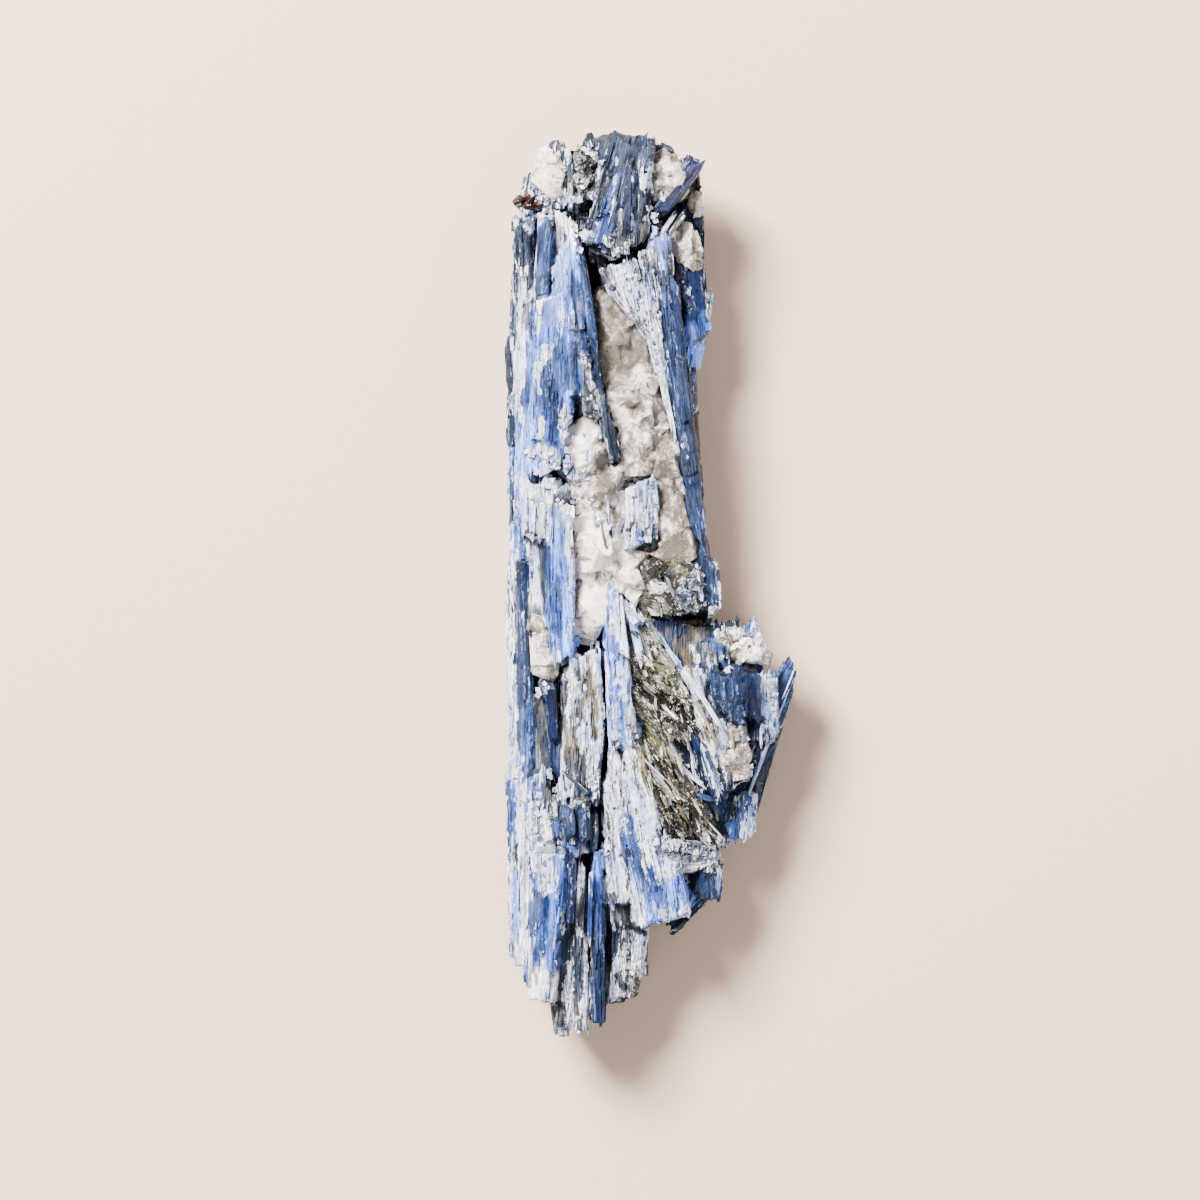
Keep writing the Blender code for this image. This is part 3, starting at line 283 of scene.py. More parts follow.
# strokes of tone, crust and painted crevice shade on the upper faces: start, end and half the width, in steps
# of the sheet
marks = {
    "slate": [
        (520, 835, 522, 855, 2), (507, 800, 508, 850, 1.5), (526, 880, 527, 930, 1.5),
        (541, 870, 540, 895, 1.5), (531, 745, 530, 775, 2), (545, 722, 547, 748, 4),
        (575, 752, 590, 768, 2.5), (568, 770, 586, 792, 2.5), (540, 784, 560, 782, 1.5),
        (533, 800, 534, 830, 2), (545, 806, 546, 836, 2), (616, 770, 618, 800, 1.5),
        (628, 800, 632, 830, 2), (646, 796, 650, 818, 2), (652, 160, 655, 185, 2), (590, 139, 640, 136, 4),
        (655, 146, 668, 148, 4), (530, 178, 526, 196, 5), (622, 160, 618, 200, 8), (632, 150, 638, 190, 7),
        (545, 212, 550, 216, 4), (516, 232, 516, 300, 2), (524, 236, 528, 262, 5), (571, 275, 575, 285, 3),
        (514, 300, 516, 345, 3), (508, 350, 510, 372, 3), (603, 404, 612, 452, 2.5),
        (507, 420, 506, 465, 2.5), (537, 474, 539, 478, 3), (540, 485, 548, 487, 2.5),
        (638, 220, 634, 248, 3), (546, 740, 548, 768, 4), (572, 758, 585, 780, 3), (563, 812, 566, 822, 4),
        (598, 800, 598, 845, 4), (515, 840, 517, 860, 3), (533, 860, 533, 890, 2), (563, 938, 560, 970, 3),
        (562, 1022, 568, 1030, 3), (646, 258, 648, 292, 3.5), (695, 372, 700, 470, 2),
        (690, 575, 695, 605, 4), (735, 672, 757, 667, 3), (660, 845, 690, 850, 2), (705, 845, 722, 852, 3),
        (705, 228, 708, 262, 3), (738, 685, 738, 712, 2),
    ],
    "grey": [
        (528, 806, 529, 838, 2), (552, 800, 553, 836, 2.5), (574, 796, 590, 800, 2.5),
        (620, 740, 624, 780, 2), (634, 760, 640, 800, 2.5), (640, 820, 646, 850, 2.5),
        (566, 700, 564, 716, 2), (580, 706, 579, 726, 2.5), (606, 800, 608, 830, 2),
        (660, 880, 664, 900, 2), (526, 960, 528, 990, 2), (608, 960, 612, 985, 2.5),
        (665, 632, 690, 648, 8), (698, 632, 716, 646, 6), (562, 665, 566, 700, 4), (590, 668, 588, 700, 4),
        (556, 690, 560, 745, 3), (566, 720, 568, 760, 3), (536, 650, 540, 690, 3), (588, 745, 586, 790, 4),
        (640, 505, 642, 522, 4), (622, 850, 622, 870, 3), (622, 222, 620, 245, 5), (646, 225, 642, 247, 3),
        (583, 250, 605, 258, 3), (692, 190, 696, 215, 5), (668, 214, 655, 240, 3),
        (556, 228, 559, 247, 5.5), (526, 290, 527, 330, 4), (586, 360, 588, 415, 4),
        (540, 550, 541, 580, 2), (534, 605, 533, 620, 2), (545, 705, 543, 735, 3), (575, 700, 570, 760, 6),
        (577, 760, 573, 775, 4), (549, 780, 548, 795, 6), (583, 850, 586, 862, 5), (583, 870, 582, 910, 4),
        (590, 930, 588, 990, 2.5), (576, 1000, 578, 1030, 3), (612, 895, 625, 920, 6),
        (604, 272, 610, 290, 5), (656, 312, 664, 350, 2), (684, 290, 688, 305, 3), (745, 735, 735, 775, 8),
    ],
    "sky": [
        (618, 178, 606, 212, 2.5), (575, 250, 585, 320, 3), (552, 305, 548, 345, 6),
        (530, 350, 533, 400, 4), (540, 400, 537, 425, 4), (538, 430, 540, 460, 3), (519, 465, 519, 500, 2),
        (527, 508, 529, 525, 3), (537, 505, 539, 525, 2.5), (556, 510, 562, 575, 8),
        (512, 790, 514, 840, 3), (562, 855, 563, 895, 3), (552, 900, 556, 930, 4), (547, 990, 545, 1005, 3),
        (595, 862, 598, 895, 4), (655, 895, 672, 905, 9), (665, 915, 655, 925, 3), (612, 650, 614, 700, 4),
        (622, 650, 628, 690, 3), (636, 690, 645, 705, 4), (655, 625, 672, 668, 3), (712, 640, 722, 665, 3),
        (662, 245, 665, 280, 4.5), (646, 486, 652, 504, 3), (650, 525, 656, 545, 3),
    ],
    "blue": [
        (509, 784, 511, 860, 3.5), (512, 880, 514, 930, 2.5), (527, 850, 530, 880, 2),
        (508, 792, 510, 838, 3), (524, 760, 524, 790, 2.5), (621, 700, 624, 730, 2),
        (612, 860, 618, 885, 2.5), (556, 820, 560, 838, 4), (545, 168, 540, 185, 3),
        (605, 220, 600, 245, 7), (551, 250, 552, 262, 3), (543, 262, 539, 280, 4.5),
        (578, 290, 583, 350, 6), (560, 350, 560, 395, 7), (525, 388, 523, 402, 4), (545, 380, 543, 400, 4),
        (524, 700, 524, 748, 6), (556, 580, 558, 635, 5), (555, 748, 558, 768, 1.5),
        (540, 895, 545, 945, 8), (532, 900, 531, 940, 3), (552, 945, 550, 985, 3), (598, 900, 602, 930, 5),
        (632, 815, 640, 870, 3.5), (641, 870, 645, 895, 2), (616, 600, 618, 635, 4),
        (702, 315, 708, 325, 5), (792, 675, 780, 705, 4), (745, 800, 735, 835, 5), (664, 288, 668, 315, 5),
    ],
    "pale": [
        (697, 172, 672, 203, 1), (676, 220, 682, 226, 3), (558, 265, 558, 300, 6), (566, 245, 568, 270, 3),
        (530, 410, 527, 460, 5), (568, 395, 567, 415, 3), (566, 590, 568, 645, 5), (515, 870, 516, 940, 3),
        (530, 985, 532, 1000, 3), (645, 905, 650, 925, 4), (685, 890, 690, 905, 5),
        (604, 600, 608, 660, 3.5), (650, 262, 652, 310, 2), (713, 290, 716, 312, 2.5),
        (690, 330, 695, 360, 5), (706, 500, 708, 530, 1.5), (780, 725, 742, 795, 1),
        (752, 810, 750, 830, 2), (718, 880, 720, 895, 3), (722, 860, 726, 868, 3),
    ],
    "white": [
        (628, 480, 650, 476, 3.5), (628, 486, 627, 510, 2), (618, 150, 614, 170, 0.8),
        (640, 170, 644, 200, 1), (652, 160, 650, 190, 0.8), (600, 190, 594, 206, 1),
        (626, 186, 622, 204, 0.8), (519, 770, 520, 838, 3), (700, 690, 712, 716, 1),
        (676, 905, 684, 915, 1.5), (690, 646, 698, 662, 3), (564, 412, 566, 470, 3),
        (639, 163, 640, 182, 0.8), (629, 168, 630, 182, 0.8), (616, 176, 613, 216, 0.8),
        (620, 214, 621, 228, 1), (598, 168, 600, 178, 2), (607, 196, 604, 208, 0.8),
        (634, 212, 630, 232, 1.2), (596, 222, 600, 236, 1), (520, 218, 538, 222, 8),
        (516, 262, 528, 300, 2), (536, 255, 532, 300, 2), (541, 290, 535, 335, 3), (570, 212, 574, 240, 4),
        (521, 345, 518, 385, 4.5), (545, 352, 536, 372, 5), (543, 420, 540, 452, 3),
        (582, 352, 592, 392, 1.5), (597, 392, 602, 410, 3), (565, 425, 580, 440, 8),
        (535, 455, 575, 468, 9), (530, 492, 565, 500, 9), (513, 560, 512, 640, 1.8),
        (547, 510, 545, 530, 2), (532, 545, 532, 575, 4), (572, 520, 574, 640, 2.5),
        (541, 620, 543, 640, 5), (509, 660, 511, 700, 1.5), (575, 660, 577, 690, 6),
        (593, 740, 592, 790, 5), (512, 700, 513, 780, 2.5), (525, 790, 530, 840, 5),
        (540, 810, 546, 885, 7), (525, 850, 524, 950, 3), (562, 910, 564, 930, 2),
        (544, 950, 541, 1000, 2.5), (567, 985, 570, 1030, 6), (586, 960, 586, 1010, 4),
        (520, 950, 524, 970, 3), (601, 948, 601, 958, 2), (635, 945, 640, 985, 6), (625, 945, 627, 965, 3),
        (612, 985, 620, 1000, 2.5), (615, 835, 617, 885, 7), (634, 880, 637, 925, 2),
        (632, 498, 645, 530, 8), (635, 730, 622, 780, 6), (620, 790, 622, 830, 6), (645, 820, 650, 870, 5),
        (660, 870, 664, 885, 4), (680, 872, 690, 882, 3), (640, 775, 652, 840, 4), (628, 600, 634, 640, 5),
        (640, 615, 655, 640, 3), (630, 660, 637, 680, 2), (695, 695, 705, 725, 3),
        (700, 730, 716, 780, 2.5), (770, 680, 775, 710, 5), (752, 745, 748, 770, 2),
        (765, 695, 772, 700, 4), (670, 860, 690, 866, 4), (690, 855, 715, 860, 3), (630, 262, 632, 300, 10),
        (640, 305, 652, 345, 5), (680, 258, 680, 300, 2.5), (668, 350, 676, 460, 2),
        (684, 445, 688, 455, 2.5), (689, 525, 697, 548, 2), (700, 560, 702, 600, 2),
        (755, 625, 752, 650, 5), (730, 635, 745, 655, 6),
    ],
    "tan": [
        (632, 735, 640, 760, 3), (584, 700, 586, 726, 2.5), (570, 730, 571, 752, 2.5),
        (672, 644, 690, 660, 4), (722, 632, 735, 645, 4), (592, 655, 594, 735, 4), (640, 740, 645, 770, 4),
        (685, 650, 692, 680, 3), (702, 700, 712, 740, 3.5), (523, 318, 525, 330, 2),
        (690, 622, 700, 640, 4),
    ],
    "royal": [
        (718, 672, 717, 712, 6), (730, 668, 728, 716, 5), (548, 224, 544, 246, 4), (588, 300, 596, 352, 3),
        (541, 280, 539, 292, 4), (533, 300, 530, 345, 1.5), (552, 385, 556, 412, 5),
        (554, 415, 553, 445, 5), (575, 345, 573, 375, 3), (546, 548, 549, 600, 3),
        (518, 575, 519, 640, 2.5), (523, 630, 523, 700, 7), (550, 600, 556, 650, 2),
        (572, 812, 586, 828, 7), (538, 945, 534, 980, 2.5), (603, 925, 604, 945, 4),
        (597, 1010, 597, 1025, 4), (666, 320, 675, 360, 6), (672, 345, 680, 400, 6),
        (684, 380, 690, 450, 6), (690, 500, 700, 555, 7), (705, 560, 712, 600, 5), (698, 308, 690, 318, 3),
        (785, 735, 750, 790, 5), (702, 790, 714, 802, 5), (705, 875, 710, 895, 6), (757, 680, 757, 700, 2),
    ],
    "navy": [
        (509, 800, 512, 838, 1.5), (572, 858, 571, 926, 4), (549, 745, 554, 772, 3),
        (590, 790, 592, 806, 2), (605, 200, 600, 222, 2.5), (628, 215, 624, 238, 2.5),
        (576, 820, 580, 838, 4), (650, 868, 656, 890, 1.5), (634, 195, 632, 212, 3),
        (641, 195, 643, 215, 3), (694, 166, 662, 208, 5), (700, 160, 697, 168, 4),
        (532, 240, 534, 252, 1.5), (577, 375, 576, 418, 2), (590, 350, 598, 388, 3),
        (537, 533, 549, 548, 2), (523, 540, 523, 570, 2.5), (526, 565, 524, 605, 3.5),
        (548, 684, 553, 735, 4), (582, 786, 594, 797, 3), (600, 955, 600, 1005, 6), (614, 935, 612, 960, 4),
        (612, 1008, 628, 1004, 4), (620, 745, 625, 770, 1), (684, 484, 700, 486, 2),
        (692, 275, 700, 300, 5), (725, 650, 727, 665, 2), (744, 672, 746, 714, 12), (735, 780, 722, 795, 4),
        (675, 927, 690, 920, 3),
    ],
    "dark": [
        (556, 832, 555, 848, 1.5), (567, 836, 568, 850, 1), (541, 860, 539, 866, 1.2),
        (569, 905, 566, 930, 0.8), (536, 686, 535, 728, 1.2), (584, 786, 594, 792, 1.5),
        (564, 776, 566, 790, 1), (622, 790, 624, 812, 1), (636, 806, 640, 826, 0.8),
        (625, 190, 622, 210, 1), (632, 150, 630, 165, 1), (612, 140, 610, 160, 1),
        (645, 205, 642, 225, 1.2), (570, 712, 569, 722, 1), (560, 806, 561, 820, 1),
        (644, 742, 650, 756, 1), (632, 500, 641, 497, 1), (636, 520, 628, 530, 2), (712, 840, 718, 846, 3),
        (613, 168, 603, 196, 1.6), (607, 172, 596, 205, 1.6), (648, 190, 652, 220, 2),
        (590, 200, 583, 212, 4), (588, 220, 584, 235, 3), (628, 225, 630, 240, 2), (612, 245, 612, 255, 3),
        (590, 245, 600, 252, 3), (655, 195, 652, 215, 2), (660, 222, 650, 247, 1.5),
        (564, 230, 565, 245, 1.2), (553, 264, 551, 288, 1.2), (563, 300, 563, 306, 1.5),
        (558, 418, 562, 421, 1), (598, 365, 602, 385, 1), (512, 388, 513, 405, 1.5),
        (514, 442, 513, 520, 1.2), (552, 480, 562, 478, 1.6), (560, 470, 556, 474, 1.5),
        (546, 461, 550, 465, 1), (575, 475, 590, 495, 2), (590, 518, 606, 526, 2.5),
        (525, 533, 537, 532, 2), (591, 640, 570, 658, 2), (568, 655, 562, 690, 1.5),
        (593, 642, 597, 650, 3), (540, 695, 536, 728, 1.2), (558, 836, 563, 832, 1.3),
        (557, 838, 557, 850, 1.2), (590, 845, 592, 858, 1.5), (577, 905, 574, 935, 2),
        (585, 920, 577, 990, 2), (566, 1010, 558, 1005, 2), (617, 975, 624, 990, 4),
        (618, 930, 622, 940, 3), (632, 925, 645, 935, 3), (627, 845, 631, 925, 1.3),
        (627, 930, 633, 950, 1), (603, 838, 604, 848, 2.5), (612, 745, 633, 722, 1.5),
        (607, 705, 603, 760, 2.5), (602, 760, 601, 800, 2.5), (717, 745, 722, 780, 1.5),
        (665, 612, 705, 618, 5), (697, 667, 730, 675, 1.8), (712, 700, 745, 738, 2),
        (590, 262, 597, 292, 4), (612, 290, 618, 298, 2), (683, 476, 700, 474, 1), (698, 870, 696, 895, 2),
    ],
}


def onSheet(x, y):  # a place on the sheet, as a plan position in mm
    return np.array((x - sheet["left"], sheet["bottom"] - y)) * sheet["step"]


def strokesOf(rows):  # a stroke's start and run in mm, half its width in mm, and what else its row holds
    for x, y, xEnd, yEnd, half, *rest in rows:
        start = onSheet(x, y)
        yield start, onSheet(xEnd, yEnd) - start, half * sheet["step"], rest


def gapTo(plan, start, run):  # how far each plan position is from a stroke's middle line
    local = plan - start
    part = np.clip(local @ run / max(run @ run, 0.01), 0, 1)
    return np.linalg.norm(local - part[:, None] * run, axis=1)


# small helpers for the meshes
def solidOf(node):  # a copy of the node's mesh with its corners joined
    bm = bmesh.new()
    bm.from_mesh(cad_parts[node].data)
    bmesh.ops.remove_doubles(bm, verts=bm.verts, dist=1e-7)
    return bm


def coordinates(mesh):
    found = np.empty(len(mesh.vertices) * 3)
    mesh.vertices.foreach_get("co", found)
    return found.reshape(-1, 3)


def normals(mesh):
    found = np.empty(len(mesh.vertices) * 3)
    mesh.vertices.foreach_get("normal", found)
    return found.reshape(-1, 3)


def setCoordinates(mesh, points):  # and keeps them just inside the solids' box
    low = np.array(cadBox[0]) + 0.00001
    high = np.array(cadBox[1]) - 0.00001
    mesh.vertices.foreach_set("co", np.clip(points, low, high).ravel())
    mesh.update()


def remeshed(name, bm, voxel):
    rough = linked(name, meshFrom(name, bm))
    remesh = rough.modifiers.new("remesh", "REMESH")
    remesh.mode = "VOXEL"
    remesh.voxel_size = voxel * mm
    fine = bpy.data.meshes.new_from_object(rough.evaluated_get(bpy.context.evaluated_depsgraph_get()))
    bpy.data.objects.remove(rough)
    fine.name = name
    fine.shade_smooth()
    return fine


# large primes that scatter the numbers of the lattice's cells, and how far a seed moves the lattice
lattice = {"keys": (73856093, 19349663, 83492791), "seedKey": 7919, "spread": 1274126177, "seedMove": 17.31}


def latticeNoise(points, size, seed):  # smooth noise from -1 to 1, with bumps about size mm across
    scaled = points / size + seed * lattice["seedMove"]
    cell = np.floor(scaled).astype(np.int64)
    part = scaled - cell
    part = part * part * (3 - 2 * part)
    total = np.zeros(len(points))
    for corner in range(8):
        step = np.array([corner & 1, corner >> 1 & 1, corner >> 2 & 1])
        key = ((cell + step) * np.array(lattice["keys"])).sum(axis=1) + seed * lattice["seedKey"]
        key = (key ^ (key >> 13)) * lattice["spread"]
        value = ((key ^ (key >> 16)) & 65535) / 32767.5 - 1
        total += value * np.prod(np.where(step == 1, part, 1 - part), axis=1)
    return total


def hollowness(mesh, rounds):  # how far each point lies below its neighbours' mean, in mm
    ends = np.empty(len(mesh.edges) * 2, np.int32)
    mesh.edges.foreach_get("vertices", ends)
    first, second = ends.reshape(-1, 2).T
    points = coordinates(mesh)
    count = len(points)
    neighbours = np.bincount(ends, minlength=count)
    smooth = points
    for _ in range(rounds):
        sums = [
            np.bincount(first, smooth[second, k], count) + np.bincount(second, smooth[first, k], count)
            for k in range(3)
        ]
        smooth = np.stack(sums, axis=1) / neighbours[:, None]
    return ((smooth - points) * normals(mesh)).sum(axis=1) / mm


def painted(mesh, **layers):  # lays values on the mesh's points, under the names that its material reads
    for name, values in layers.items():
        kind, key = {1: ("FLOAT", "value"), 2: ("FLOAT_VECTOR", "vector")}[values.ndim]
        made = mesh.attributes.new(name, kind, "POINT")
        made.data.foreach_set(key, values.astype(np.float32).ravel())


def dressed(name, mesh, material, node):
    mesh.materials.clear()
    mesh.materials.append(material)
    piece = linked(name, mesh)
    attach(piece, "root")
    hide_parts(node)


def repeated(name, shapes, picks, places):  # one mesh of many placed copies of a few small shapes
    bm = bmesh.new()
    for pick in picks:
        bm.from_mesh(shapes[pick])
    mesh = meshFrom(name, bm)
    turned = np.array([[tuple(row)[:3] for row in place[:3]] for place in places])
    moved = np.array([tuple(place.translation) for place in places])
    local = coordinates(mesh).reshape(len(picks), -1, 3)
    setCoordinates(mesh, (np.einsum("nij,nkj->nki", turned, local) + moved[:, None]).reshape(-1, 3))
    return mesh


def placement(start, across, along, up):  # a matrix whose columns are a shape's own axes
    place = Matrix((across, along, up)).transposed().to_4x4()
    place.translation = start
    return place


def logBetween(rng, low, high, power=1.0):  # a size in m, between two in mm, with more of the small ones
    return low * (high / low) ** (rng.random() ** power) * mm


# how thickly faces are covered, by the way they look
faceShares = {"upper": 1.25, "side": 0.8, "under": 0.55}


def scattered(bm, rng, perArea):  # random places on the faces: (point, normal)
    faces = list(bm.faces)
    sums = []
    total = 0.0
    for face in faces:
        looks = "upper" if face.normal.z > 0.3 else "under" if face.normal.z < -0.4 else "side"
        total += face.calc_area() * faceShares[looks]
        sums.append(total)
    for _ in range(int(total / mm / mm * perArea)):
        face = faces[bisect.bisect(sums, rng.random() * total)]
        a, b = rng.random(), rng.random()
        if a + b > 1:
            a, b = 1 - a, 1 - b
        corners = [vert.co for vert in face.verts]
        yield corners[0] + (corners[1] - corners[0]) * a + (corners[2] - corners[0]) * b, face.normal.copy()


# which blade a point belongs to, and the tone, frost and painted seam shade there
belonging = {
    "headroom": 0.4, "aboveCost": 3.0, "belowCost": 0.15,  # a blade's own points may stand 0.4 mm over it
    "acrossPerUp": 0.8,  # how the grain runs down a blade's sides
    "apart": 13.7,  # between the patterns of two blades
    "zoneEdge": 3.0,  # how sharply one tone gives way to the next
}


class Bundle:
    def __init__(self, node):
        self.rows = bladeRows[node]
        self.foot = np.array([placed(*row[1]) for row in self.rows])
        span = np.array([placed(*row[2]) for row in self.rows]) - self.foot
        self.length = np.linalg.norm(span, axis=1)
        self.along = span / self.length[:, None]
        self.across = np.cross(self.along, (0, 0, 1))
        self.across /= np.linalg.norm(self.across, axis=1)[:, None]
        self.halves = np.array([row[3] for row in self.rows]) * mm / 2
        self.frost = np.array([row[5] for row in self.rows])
        self.zones = [np.array([toLinear(tones[word]) for word in row[4].split()]) for row in self.rows]

    def grain(self, points, blade):  # mm across and along the blade, and a number of its own
        local = points - self.foot[blade]
        across = (local * self.across[blade]).sum(axis=1) + local[:, 2] * belonging["acrossPerUp"]
        along = (local * self.along[blade]).sum(axis=1)
        return np.stack([across / mm, along / mm, blade * belonging["apart"]], axis=1)

    def bladeAt(self, points):  # the nearest blade, and how much nearer it is than the next one
        nearest = np.full(len(points), 1e9)
        second = np.full(len(points), 1e9)
        found = np.zeros(len(points), int)
        for i in range(len(self.rows)):
            local = points - self.foot[i]
            along = local @ self.along[i]
            part = np.clip(along / self.length[i], 0, 1)
            half = self.halves[i, 0] + (self.halves[i, 1] - self.halves[i, 0]) * part
            above = local[:, 2] - along * self.along[i, 2]
            cost = np.maximum(np.abs(local @ self.across[i]) - half, 0)
            cost = cost + np.maximum(np.maximum(-along, along - self.length[i]), 0)
            cost = cost + np.maximum(above - belonging["headroom"] * mm, 0) * belonging["aboveCost"]
            cost = cost + np.maximum(-above, 0) * belonging["belowCost"]
            better = cost < nearest
            second = np.where(better, nearest, np.minimum(second, cost))
            nearest = np.where(better, cost, nearest)
            found[better] = i
        return found, (second - nearest) / mm

    def zoneTones(self, blade, along, torn):
        tint = np.empty((len(blade), 3))
        for i, zone in enumerate(self.zones):
            mine = blade == i
            place = np.clip(along[mine] * mm / self.length[i] * len(zone) + torn[mine], 0, len(zone)) - 0.5
            whole = np.floor(place)
            part = np.clip((place - whole - 0.5) * belonging["zoneEdge"] + 0.5, 0, 1)
            for channel in range(3):
                tint[mine, channel] = np.interp(whole + part, range(len(zone)), zone[:, channel])
        return tint


strokeEdge = {
    "bend": 0.2, "bendSize": 0.9,  # mm that a stroke's line is bent by, over how many mm
    "bendAlong": 1.8,  # times as much along the specimen
    "tear": 0.28, "tearSize": 0.35, "tearStretch": 0.3, "fray": 0.16, "fraySize": 0.3,  # of its edges
    "blur": 0.22, "room": 0.5,
    "frost": 0.8, "cover": 0.9, "deepCover": 0.9, "lightCover": 0.6,  # how fully it hides what it lies on
}


def marked(points, facing, tint, frost, dirt):  # lays the strokes on the upper faces
    edge = strokeEdge
    place = points / mm
    bendAcross = latticeNoise(place, edge["bendSize"], 5)
    bendAlong = latticeNoise(place, edge["bendSize"], 6) * edge["bendAlong"]
    plan = place[:, :2] + planMiddle + np.stack([bendAcross, bendAlong], axis=1) * edge["bend"]
    torn = latticeNoise(place * (1, edge["tearStretch"], 1), edge["tearSize"], 8) * edge["tear"]
    torn = torn + latticeNoise(place, edge["fraySize"], 9) * edge["fray"]
    for tone, rows in marks.items():
        colour = np.array(toLinear(tones[tone]))
        for start, run, half, _ in strokesOf(rows):
            room = np.abs(run) / 2 + half + edge["room"]
            near = np.flatnonzero((np.abs(plan - start - run / 2) < room).all(axis=1) & (facing > 0))
            gap = gapTo(plan[near], start, run)
            weight = np.clip((half - gap + torn[near]) / edge["blur"] + 0.5, 0, 1) * facing[near]
            # dark strokes paint crevice shade, the black of deep narrow gaps; the other strokes clear it
            if tone == "dark":
                dirt[near] = np.maximum(dirt[near], weight)
                continue
            dirt[near] *= 1 - weight
            if tone == "white":
                frost[near] += (edge["frost"] - frost[near]) * weight
            else:
                cover = edge["deepCover"] if tone in ("navy", "royal") else edge["lightCover"]
                tint[near] += (colour - tint[near]) * (weight * edge["cover"])[:, None]
                frost[near] *= 1 - cover * weight


def upperShare(rise, points):  # 1 on what looks up above 6 mm, 0 on what looks down or lies under 4 mm
    return np.clip(rise * 2 + 0.8, 0, 1) * np.clip(points[:, 2] / mm / 2 - 2, 0, 1)


# the solid rock of each bundle: terraces, chips and grooves along the blades, rounded broken ends
rock = {
    "voxel": {
        "left_blades": 0.28, "fan_blades": 0.25, "right_blades": 0.25, "top_blades": 0.2,
        "embedded_blade": 0.16,
    },
    # in mm: height and width of the crust's bumps, how far the broken ends are toothed, and how long the
    # stretch is over which they round off
    "crust": {
        "left_blades": (0.12, 0.6, 0.8, 1.6), "fan_blades": (0.16, 0.6, 0.8, 1.6),
        "right_blades": (0.12, 0.6, 0.8, 1.6), "top_blades": (1.3, 1.6, 0.8, 1.6),
        "embedded_blade": (0.12, 0.6, 0.15, 6.0),
    },
    "terrace": 0.24, "terraceWidth": 1.3, "terraceSteps": 2.5, "terraceStretch": (1, 0.07, 1),
    "groove": 0.1, "grooveWidth": 0.6, "grooveStretch": (1, 0.1, 1),
    "chipsPerArea": 0.9, "pointArea": 0.07,  # square mm that one point of the mesh stands for
    "fewestChips": 8, "chipScatter": 0.1,
    "chipStretch": 0.3, "chipTilt": 0.16, "chipStep": 0.1,
    "roughness": 0.35,  # of a blade without frost
    "rounding": (-0.8, 0.4), "roundingSpread": 14, "leastRounding": 0.12,
    "wear": 0.25, "wearWidth": 0.8, "broadWearWidth": 2.2, "wearStretch": (1, 0.02, 1), "toothMiddle": 0.6,
    "edgeFrost": 4.0, "mostEdgeFrost": 0.3, "chipFrost": 0.2, "chipTone": 0.24,
    # the next line also sets painted shade: darker in hollows and along the seams between blades
    "hollowSpread": 6, "hollowShade": 4.0, "unshadedHollow": 0.4, "mostShade": 0.9, "seam": 0.2, "seamShade": 0.45,
    "toneTear": 0.5, "toneTearStretch": (1, 0.12, 1), "toneTearSize": 0.7,
    "toneFray": 0.2, "toneFrayStretch": (1, 0.3, 1), "toneFraySize": 0.35,
    "endGrain": (-0.8, 5.0, 0.0),
    "brightest": 0.9,
}


def chipped(grain, rough, seed):  # splits the faces into long flat chips: lift in mm, and which chip it is
    stretch = np.array((1, rock["chipStretch"], 1))
    flat = grain * stretch
    rng = np.random.default_rng(seed)
    count = max(rock["fewestChips"], int(len(flat) * rock["chipsPerArea"] * rock["pointArea"]))
    chips = KDTree(count)
    middles = flat[rng.choice(len(flat), count)] + rng.normal(0, rock["chipScatter"], (count, 3))
    for i, middle in enumerate(middles):
        chips.insert(middle, i)
    chips.balance()
    chip = np.array([chips.find(point)[1] for point in flat])
    slope = rng.normal(0, rock["chipTilt"], (count, 3)) * (1, 0.4, 0)
    lift = ((flat - middles[chip]) * slope[chip]).sum(axis=1) + rng.normal(0, rock["chipStep"], count)[chip]
    return lift * rough, rng.random((count, 2))[chip]


